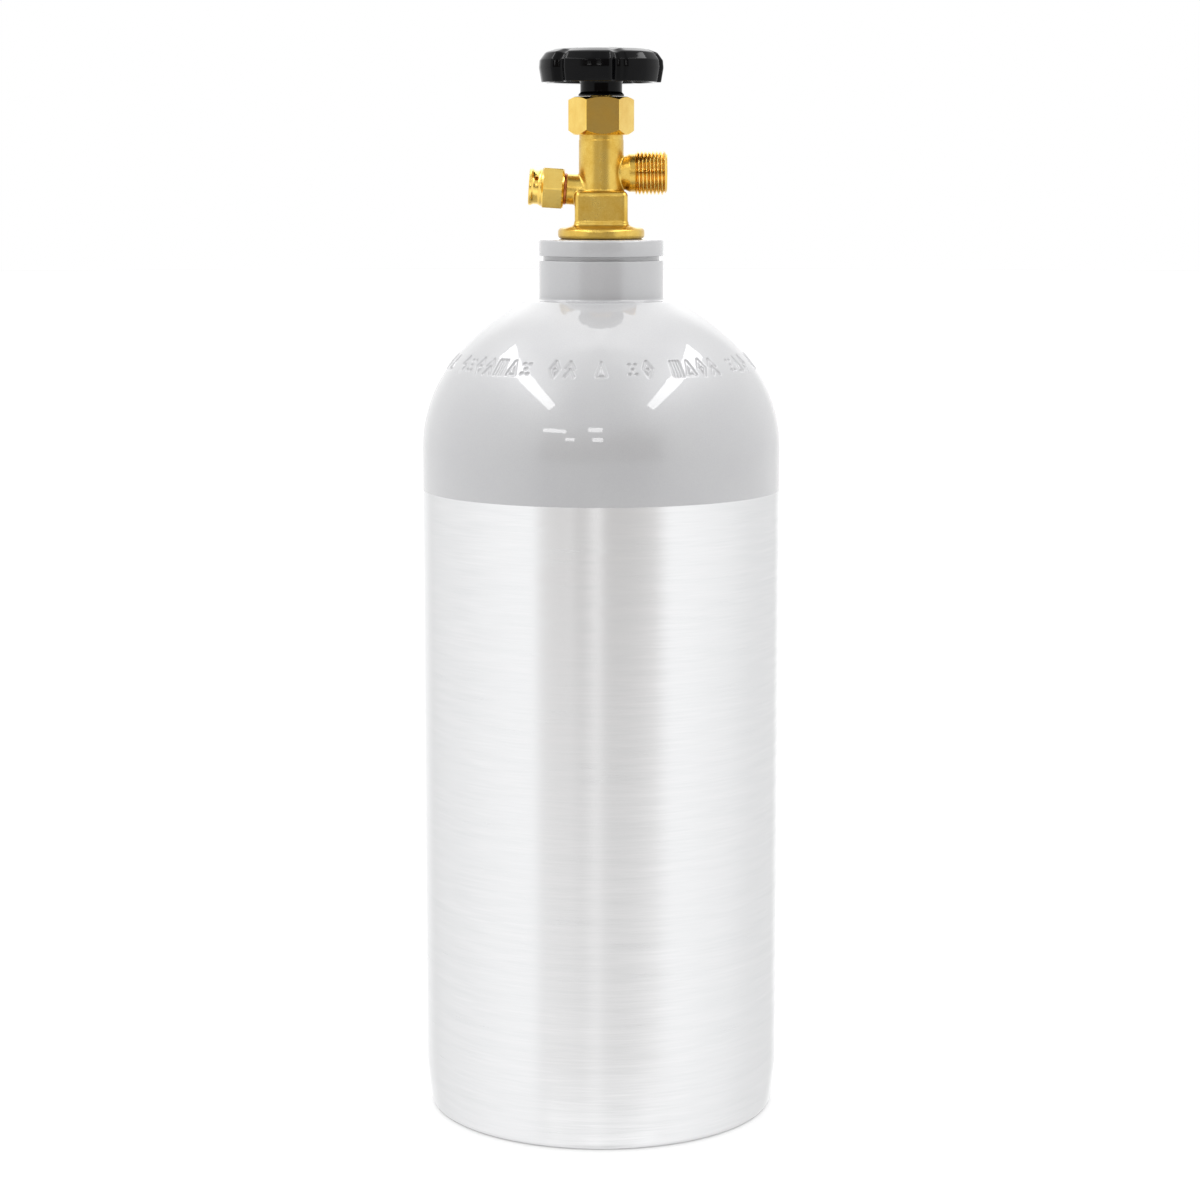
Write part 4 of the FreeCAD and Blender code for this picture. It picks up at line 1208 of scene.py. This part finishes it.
@dataclass
class BonnetNut:
    """The hexagonal nut on top of the valve, bevelled at both ends."""

    across: float = 27.7
    low: float = 478.9
    high: float = 497.0
    face: float = 13.3
    low_bevel: float = 2.4
    high_bevel: float = 1.6
    thread: float = 10.7
    web: float = 487.9
    bore: float = 5.06
    facing: float = 33.0

    def build(self, finish: Finish) -> Piece:
        """Make the nut.

        Args:
            finish: the machined brass.

        Returns:
            The finished piece.
        """
        corner = self.across / 2 / math.cos(math.pi / 6)
        outline = Outline([
            (self.thread, self.web, 0), (self.thread, self.low, 0.3), (self.face, self.low, 0.35),
            (corner, self.low + self.low_bevel, 0.3), (corner, self.high - self.high_bevel, 0.3),
            (self.face, self.high, 0.35), (self.bore, self.high, 0.3), (self.bore, self.web, 0)], 3)
        piece = self.pressed("bonnet_hexagon", outline, corner)
        smooth_by_angle(piece, 24)
        dress(piece, finish)
        mount(piece, "cylinder", "turned_brass", "bonnet_nut")
        return piece

    def pressed(self, name: str, outline: Outline, corner: float) -> Piece:
        """Turn the blank and press its flats, letting the bevels cut lower where the metal is thinner.

        Args:
            name: the piece's name.
            outline: the blank's half section.
            corner: the blank's radius.

        Returns:
            The hexagonal piece.
        """
        flats = hexagon_reach(self.across, 0.5, self.facing)

        def rule(r: float, z: float, angle: float) -> Point:
            """Slide a point of the blank's side onto the flat and along the bevels."""
            side, _ = flats(r, z, angle)
            if r < self.face + 0.4 or side >= r:
                return side, z
            cut = corner - side
            low_rate = self.low_bevel / (corner - self.face)
            high_rate = self.high_bevel / (corner - self.face)
            middle = (self.low + self.high) / 2
            if z < middle:
                return side, max(self.low, min(z, self.low + self.low_bevel + 0.4) - cut * low_rate)
            return side, min(self.high, max(z, self.high - self.high_bevel - 0.4) + cut * high_rate)
        return lathe(name, outline.points(), 192, closed=True, reach=rule)


@dataclass
class ReliefDevice:
    """The relief plug with its copper washer, drawn along the relief boss's axis."""

    face: Point = (-16.8, 453.2)
    tilt: float = 3.75
    across: float = 19.05
    washer: tuple[float, float, float] = (4.9, 7.5, 1.2)
    hexagon: Point = (1.2, 12.0)
    cap_radius: float = 8.9
    waist: float = 8.25
    end: float = 18.1
    shank: Point = (4.7, -8.2)
    vent_radius: float = 1.15
    vent_place: float = 14.6
    vents: int = 3

    def place(self) -> Matrix:
        """The matrix that stands a piece, drawn along +Z in metres, on the boss's face."""
        turn = Euler((0, math.radians(self.tilt - 90), 0)).to_matrix().to_4x4()
        return Matrix.Translation(Vector((self.face[0] * MM, 0, self.face[1] * MM))) @ turn

    @staticmethod
    def vent_tree() -> Tree:
        """A tree that drills a ring of holes through a piece.

        Returns:
            The Geometry Nodes tree.
        """
        tree = new_tree("drill_ring", {"Count": "NodeSocketInt", "Radius": "NodeSocketFloat",
                                       "Height": "NodeSocketFloat", "Reach": "NodeSocketFloat",
                                       "Material": "NodeSocketMaterial"})
        given = tree.nodes["In"].outputs
        circle = add_node(tree, "GeometryNodeMeshCircle", {
            "Vertices": given["Count"], "Radius": given["Reach"]})
        drill = add_node(tree, "GeometryNodeMeshCylinder", {
            "Vertices": 24, "Radius": given["Radius"], "Depth": Term(tree, given["Reach"]) * 1.6})
        outward = add_node(tree, "GeometryNodeInputPosition").outputs[0]
        aim = add_node(tree, "FunctionNodeAlignRotationToVector", {"Vector": outward}, axis="Z")
        drills = add_node(tree, "GeometryNodeInstanceOnPoints", {
            "Points": circle.outputs[0], "Instance": drill.outputs[0], "Rotation": aim.outputs[0]})
        lift = add_node(tree, "ShaderNodeCombineXYZ", {"Z": given["Height"]})
        lifted = add_node(tree, "GeometryNodeTransform", {
            "Geometry": drills.outputs[0], "Translation": lift.outputs[0], "Rotation": (0, 0, math.pi)})
        tools = add_node(tree, "GeometryNodeRealizeInstances", {"Geometry": lifted.outputs[0]})
        drilled = add_node(tree, "GeometryNodeMeshBoolean", {"Mesh 1": given["Geometry"],
                                                             "Mesh 2": tools.outputs[0]},
                           operation="DIFFERENCE", solver="EXACT")
        end_tree(tree, drilled.outputs[0])
        return tree

    def plug(self, finish: Finish) -> Piece:
        """The hexagonal plug with its waisted, vented end.

        Args:
            finish: the machined brass.

        Returns:
            The plug, drawn along +Z.
        """
        corner = self.across / 2 / math.cos(math.pi / 6)
        low, high = self.hexagon
        shank, bottom = self.shank
        cap = self.cap_radius
        outline = Outline([
            (0, bottom, 0), (shank, bottom, 0.3), (shank, low, 0), (self.across / 2 - 0.4, low, 0.2),
            (corner, low + 1.0, 0.3), (corner, high - 1.0, 0.3), (self.across / 2 - 0.5, high, 0.2),
            (cap, high, 0.1), (cap, high + 0.5, 0.3), (self.waist, high + 1.5, 1.6),
            (self.waist, self.end - 2.3, 1.6), (cap, self.end - 1.3, 0.3), (cap, self.end - 0.3, 0.3),
            (cap - 0.5, self.end, 0.2), (3.0, self.end, 0.2), (2.4, self.end - 0.6, 0.3),
            (0, self.end - 0.6, 0)], 3)
        flats = hexagon_reach(self.across, 0.35, 0)

        def rule(r: float, z: float, angle: float) -> Point:
            """Press only the hexagon's stretch."""
            return flats(r, z, angle) if low - 0.01 <= z <= high + 0.01 and r > shank else (r, z)
        piece = lathe("relief_hexagon", outline.points(), 144, reach=rule)
        run_tree(piece, self.vent_tree(), {"Count": self.vents, "Radius": self.vent_radius * MM,
                                           "Height": self.vent_place * MM, "Reach": self.cap_radius * MM,
                                           "Material": finish})
        return piece

    def build(self, brass: Finish, copper: Finish) -> list[Piece]:
        """Make the plug and the washer.

        Args:
            brass: finish of the plug.
            copper: finish of the washer.

        Returns:
            Both pieces.
        """
        plug = self.plug(brass)
        inner, outer, thick = self.washer
        washer = lathe("relief_seal", Outline([
            (inner, thick / 2, 0), (inner, 0, 0.15), (outer, 0, 0.3), (outer, thick, 0.3),
            (inner, thick, 0.15), (inner, thick / 2, 0)]).points(), 96)
        for piece, slot, finish, node in ((plug, "turned_brass", brass, "relief_plug"),
                                          (washer, "soft_copper", copper, "relief_washer")):
            piece.data.transform(self.place())
            smooth_by_angle(piece, 26)
            dress(piece, finish)
            mount(piece, "cylinder", slot, node)
        return [plug, washer]


# ---------------------------------------------------------------------------
# The handwheel
# ---------------------------------------------------------------------------
@dataclass
class Handwheel:
    """The moulded wheel: six lobes between narrow rounded valleys that run up over its dome."""

    bottom: float = 497.3
    skirt: Point = (11.05, 0.9)
    hub: float = 10.1
    rim_low: Point = (29.0, 503.7)
    rim_wide: Point = (30.1, 510.7)
    rim_high: Point = (29.8, 514.2)
    dome: Point = (22.5, 519.5)
    recess: tuple[float, float] = (10.2, 511.0)
    top: float = 520.2
    opening: float = 5.5
    valley_depth: float = 3.1
    valley_half: float = 9.5
    first_valley: float = -74.0
    lobes: int = 6
    columns: int = 360

    def valley(self, angle: float) -> float:
        """How deep the rim is drawn in at an angle, from 0 on a lobe to 1 in a valley.

        Args:
            angle: direction from the axis, in radians.

        Returns:
            The share of the valley's full depth.
        """
        pitch = TAU / self.lobes
        off = (angle - math.radians(self.first_valley) + pitch / 2) % pitch - pitch / 2
        share = min(abs(off) / math.radians(self.valley_half), 1.0)
        bowl = 0.5 + 0.5 * math.cos(math.pi * share)
        crown = (abs(off) / (pitch / 2)) ** 2
        return bowl * 0.94 + 0.06 * (1 - crown)

    def reach(self, r: float, z: float, angle: float) -> Point:
        """Draw a point of the round wheel in where a valley runs.

        Args:
            r: its radius.
            z: its height.
            angle: its direction.

        Returns:
            The radius and height of the lobed wheel.
        """
        inner = 13.5
        if r <= inner:
            return r, z
        share = (r - inner) / (self.rim_wide[0] - inner)
        depth = self.valley(angle)
        drop = depth * 1.5 * share * (1.0 if z > self.rim_high[1] else 0.0)
        return r - depth * self.valley_depth * share ** 1.6, z - drop * min((z - self.rim_high[1]) / 5, 1)

    def build(self, finish: Finish) -> Piece:
        """Make the wheel.

        Args:
            finish: the black moulding.

        Returns:
            The finished piece.
        """
        skirt, tall = self.skirt
        outline = Outline([
            (self.opening, self.recess[1], 0), (self.opening, self.bottom, 0.2), (skirt, self.bottom, 0.3),
            (skirt, self.bottom + tall, 0.3), (self.hub, self.bottom + 2 * tall, 1.0),
            (self.hub, self.rim_low[1], 1.2), (12.0, 508.0, 1.5), (22.2, 508.0, 2.0), (25.2, 504.0, 0.5),
            (self.rim_low[0] - 0.1, self.rim_low[1], 0.6), (*self.rim_wide, 4.0), (*self.rim_high, 1.6),
            (27.0, 518.0, 3.0), (*self.dome, 5.0), (11.6, self.top, 0.6),
            (self.recess[0], self.top - 1.2, 0.4), (self.recess[0], self.recess[1], 0)], 6)
        piece = lathe("lobed_wheel", self.refined(outline.points()), self.columns, closed=True,
                      reach=self.reach)
        smooth_by_angle(piece, 38)
        dress(piece, finish)
        mount(piece, "wheel_and_stem", "black_moulding", "handwheel")
        return piece

    @staticmethod
    def refined(points: Sequence[Point], longest: float = 1.2) -> list[Point]:
        """Divide long stretches of an outline so that the valleys can bend them."""
        result: list[Point] = []
        for start, end in zip(points, points[1:]):
            steps = max(1, math.ceil(math.dist(start, end) / longest))
            result += [between(start, end, step / steps) for step in range(steps)]
        return [*result, points[-1]]


# ---------------------------------------------------------------------------
# CAD pieces that keep their shape
# ---------------------------------------------------------------------------
@dataclass
class KeptPieces:
    """The small parts whose CAD shape is already right: they only get their finishes."""

    groups: dict[str, tuple[str, ...]] = field(default_factory=lambda: {
        "rubber": ("neck_o_ring", "stem_o_ring"),
        "polymer": ("bonnet_gasket", "lower_thrust_washer", "upper_thrust_washer", "stem_backup_ring",
                    "seat_disc"),
        "brass": ("operating_stem", "handwheel_insert", "seat_carrier"),
        "copper": ("disc_gasket",),
        "steel": ("burst_disc", "lower_disc_spring", "upper_disc_spring", "spring_washer", "handwheel_nut"),
    })

    def dress(self, finishes: dict[str, Finish]) -> None:
        """Give every kept node its finish.

        Args:
            finishes: group name to material.
        """
        for group, nodes in self.groups.items():
            for node in nodes:
                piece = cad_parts[node]
                for index in range(max(1, len(piece.material_slots))):
                    if not piece.material_slots:
                        piece.data.materials.append(finishes[group])
                    piece.material_slots[index].material = finishes[group]
                LOG.info("%s keeps its shape in %s", node, finishes[group].name)


# ---------------------------------------------------------------------------
# The studio
# ---------------------------------------------------------------------------
@dataclass
class Studio:
    """A white room, a pale floor, two long high strips, four small panes and the camera."""

    camera_place: tuple[float, float, float] = (-0.0006, -1.398, 0.4625)
    camera_pitch: float = 81.46
    lens: float = 86.0
    floor_radius: float = 12.0
    around: tuple[Point, ...] = (
        (-180, 1.06), (-170, 0.98), (-160, 0.88), (-152, 0.87), (-145, 0.82), (-140, 0.79), (-134, 0.85),
        (-120, 0.91), (-100, 0.95), (-80, 1.00), (-60, 1.02), (-43, 1.01), (-36, 0.83), (-30, 0.77),
        (-12, 0.75), (-8, 0.82), (-2, 0.83), (1, 0.73), (8, 0.70), (18, 0.73), (25, 0.79), (33, 0.91),
        (38, 1.02), (60, 1.02), (90, 0.96), (110, 0.88), (140, 0.81), (150, 0.75), (156, 0.85),
        (162, 0.92), (180, 1.06))
    dark_width: tuple[Point, ...] = ((-180, 0.0), (-44, 0.0), (-34, 1.0), (34, 1.0), (44, 0.0), (180, 0.0))
    dark_height: tuple[Point, ...] = ((-90, 0.0), (-6, 0.0), (-1, 1.0), (13, 1.0), (26, 0.0), (90, 0.0))
    dark_colour: tuple[float, float, float] = (0.225, 0.185, 0.16)
    glow_below: tuple[Point, ...] = ((-90, 0.0), (-55, 0.0), (-35, 1.0), (-22, 1.0), (-12, 0.0), (90, 0.0))
    glow_level: float = 1.2
    mirrored_light: float = 1.3
    overhead: tuple[Point, ...] = ((-180, 0.0), (85, 0.0), (92, 1.0), (150, 1.0), (165, 0.0), (180, 0.0))
    overhead_half: Point = (0.15, 0.45)
    overhead_gain: float = 1.2
    matt_light: float = 1.75
    matt_top: float = 1.0
    matt_front: float = 1.75
    box_power: float = 22.0

    def camera(self) -> None:
        """Set up the camera in front of the outlet's height, looking a little down."""
        data = bpy.data.cameras.new("camera")
        data.lens = self.lens
        data.sensor_width = 36.0
        eye = bpy.data.objects.new("camera", data)
        eye.location = self.camera_place
        eye.rotation_euler = (math.radians(self.camera_pitch), 0, 0)
        bpy.context.scene.collection.objects.link(eye)
        bpy.context.scene.camera = eye

    def floor(self) -> None:
        """Lay a plain pale floor."""
        ring = [(self.floor_radius * math.cos(TAU * i / 64), self.floor_radius * math.sin(TAU * i / 64), 0)
                for i in range(64)]
        ground = mesh_object("floor", ring, [tuple(range(64))])
        material, _, shader = start_material("pale_floor")
        shader.inputs["Base Color"].default_value = linear("D2D2D2")
        shader.inputs["Roughness"].default_value = 0.9
        dress(ground, material)
        ground.visible_glossy = False

    def surroundings(self) -> None:
        """Light the room: softly for matt surfaces, in bands with a dark front for shiny ones."""
        world = bpy.data.worlds.new("white_room")
        bpy.context.scene.world = world
        world.use_nodes = True
        tree = world.node_tree
        tree.nodes.clear()
        x, y, z = axes_of(tree, add_node(tree, "ShaderNodeTexCoord").outputs["Generated"])
        turn = math_node(tree, "ARCTAN2", x, -y)
        bands = self.ramp(tree, turn, self.around)
        front = self.ramp(tree, turn, self.dark_width)
        rise = math_node(tree, "ARCSINE", z)
        ahead_glow = Term(tree, front) * self.ramp(tree, rise, self.glow_below)
        glow = add_node(tree, "ShaderNodeMix", {"Factor": ahead_glow, 6: bands}, data_type="RGBA")
        glow.inputs[7].default_value = (self.glow_level, self.glow_level, self.glow_level, 1.0)
        dark = Term(tree, front) * self.ramp(tree, rise, self.dark_height)
        mix = add_node(tree, "ShaderNodeMix", {"Factor": dark}, data_type="RGBA")
        tree.links.new(glow.outputs[2], mix.inputs[6])
        mix.inputs[7].default_value = (*self.dark_colour, 1.0)
        path = add_node(tree, "ShaderNodeLightPath").outputs
        tilt = math_node(tree, "ARCTAN2", z, -y)
        reach = add_node(tree, "ShaderNodeMapRange", {
            "Value": abs(x), "From Min": self.overhead_half[0], "From Max": self.overhead_half[1],
            "To Min": self.overhead_gain, "To Max": 0.0})
        panel = Term(tree, self.ramp(tree, tilt, self.overhead)) * reach.outputs[0]
        mirrored = add_node(tree, "ShaderNodeBackground", {
            "Color": mix.outputs[2], "Strength": (panel + 1.0) * self.mirrored_light})
        spread = z * self.matt_top + self.matt_light - (-y).at_least(0.0) * self.matt_front
        matt = add_node(tree, "ShaderNodeBackground", {"Color": (1, 1, 1, 1), "Strength": spread})
        plain = add_node(tree, "ShaderNodeBackground", {"Color": (1, 1, 1, 1), "Strength": 1.0})
        lit = add_node(tree, "ShaderNodeMixShader", {0: path["Is Glossy Ray"], 1: matt.outputs[0],
                                                     2: mirrored.outputs[0]})
        both = add_node(tree, "ShaderNodeMixShader", {0: path["Is Camera Ray"], 1: lit.outputs[0],
                                                      2: plain.outputs[0]})
        add_node(tree, "ShaderNodeOutputWorld", {"Surface": both.outputs[0]})

    @staticmethod
    def ramp(tree: Tree, angle: Term, stops: Sequence[Point]) -> Socket:
        """A grey ramp over angles.

        Args:
            tree: the tree.
            angle: the angle, in radians from -pi to pi.
            stops: angle in degrees and brightness.

        Returns:
            The ramp's colour.
        """
        node = add_node(tree, "ShaderNodeValToRGB", {0: (angle + math.pi) / TAU})
        elements = node.color_ramp.elements
        while len(elements) < len(stops):
            elements.new(1.0)
        for element, (degrees, value) in zip(elements, stops):
            element.position = (degrees + 180) / 360
            element.color = (value, value, value, 1)
        return node.outputs[0]

    def soft_box(self, name: str, place: tuple[float, float, float], size: Point, aim_y: float = 0.0) -> None:
        """Hang one rectangular light that faces the upright axis or a line beside it.

        Args:
            name: the light's name.
            place: its middle, in metres.
            size: its width and height, in metres.
            aim_y: how far along Y the light's aim lies, in metres.
        """
        data = bpy.data.lights.new(name, "AREA")
        data.shape = "RECTANGLE"
        data.size, data.size_y = size
        data.energy = self.box_power * size[0] * size[1]
        lamp = bpy.data.objects.new(name, data)
        lamp.location = place
        aim = Vector((0, aim_y, 0.38)) - Vector(place)
        lamp.rotation_euler = aim.to_track_quat("-Z", "Y").to_euler()
        bpy.context.scene.collection.objects.link(lamp)

    def build(self) -> None:
        """Set everything up."""
        self.camera()
        self.floor()
        self.surroundings()
        self.soft_box("left_strip", (-1.25, -0.45, 1.9), (2.5, 0.24), -0.45)
        self.soft_box("right_strip", (1.25, -0.45, 1.9), (2.5, 0.24), -0.45)
        self.soft_box("left_pane", (-1.30, -2.2, 1.25), (0.70, 0.13))
        self.soft_box("left_low_pane", (-0.78, -2.2, 0.905), (0.25, 0.10))
        self.soft_box("front_pane", (-0.145, -2.2, 1.20), (0.37, 0.14))
        self.soft_box("front_low_pane", (-0.09, -2.2, 0.875), (0.26, 0.12))
        bpy.context.scene.view_settings.view_transform = "Standard"


def main() -> None:
    """Build every sub-assembly, dress it and report it."""
    logging.basicConfig(level=logging.INFO, format="%(message)s")
    Studio().build()
    forged, turned_metal = FORGED_BRASS.material(), TURNED_BRASS.material()
    copper = SOFT_COPPER.material()
    CylinderShell().build(BrushedAluminium().material(), SilverLacquer().material())
    ValveForging().build(forged)
    OutletThread().build(turned_metal)
    BonnetNut().build(turned_metal)
    ReliefDevice().build(turned_metal, copper)
    Handwheel().build(BLACK_MOULDING.material())
    KeptPieces().dress({"rubber": SEAL_RUBBER.material(), "polymer": WHITE_POLYMER.material(),
                        "brass": turned_metal, "copper": copper, "steel": ZINC_PLATE.material()})


if __name__ == "__main__":
    main()
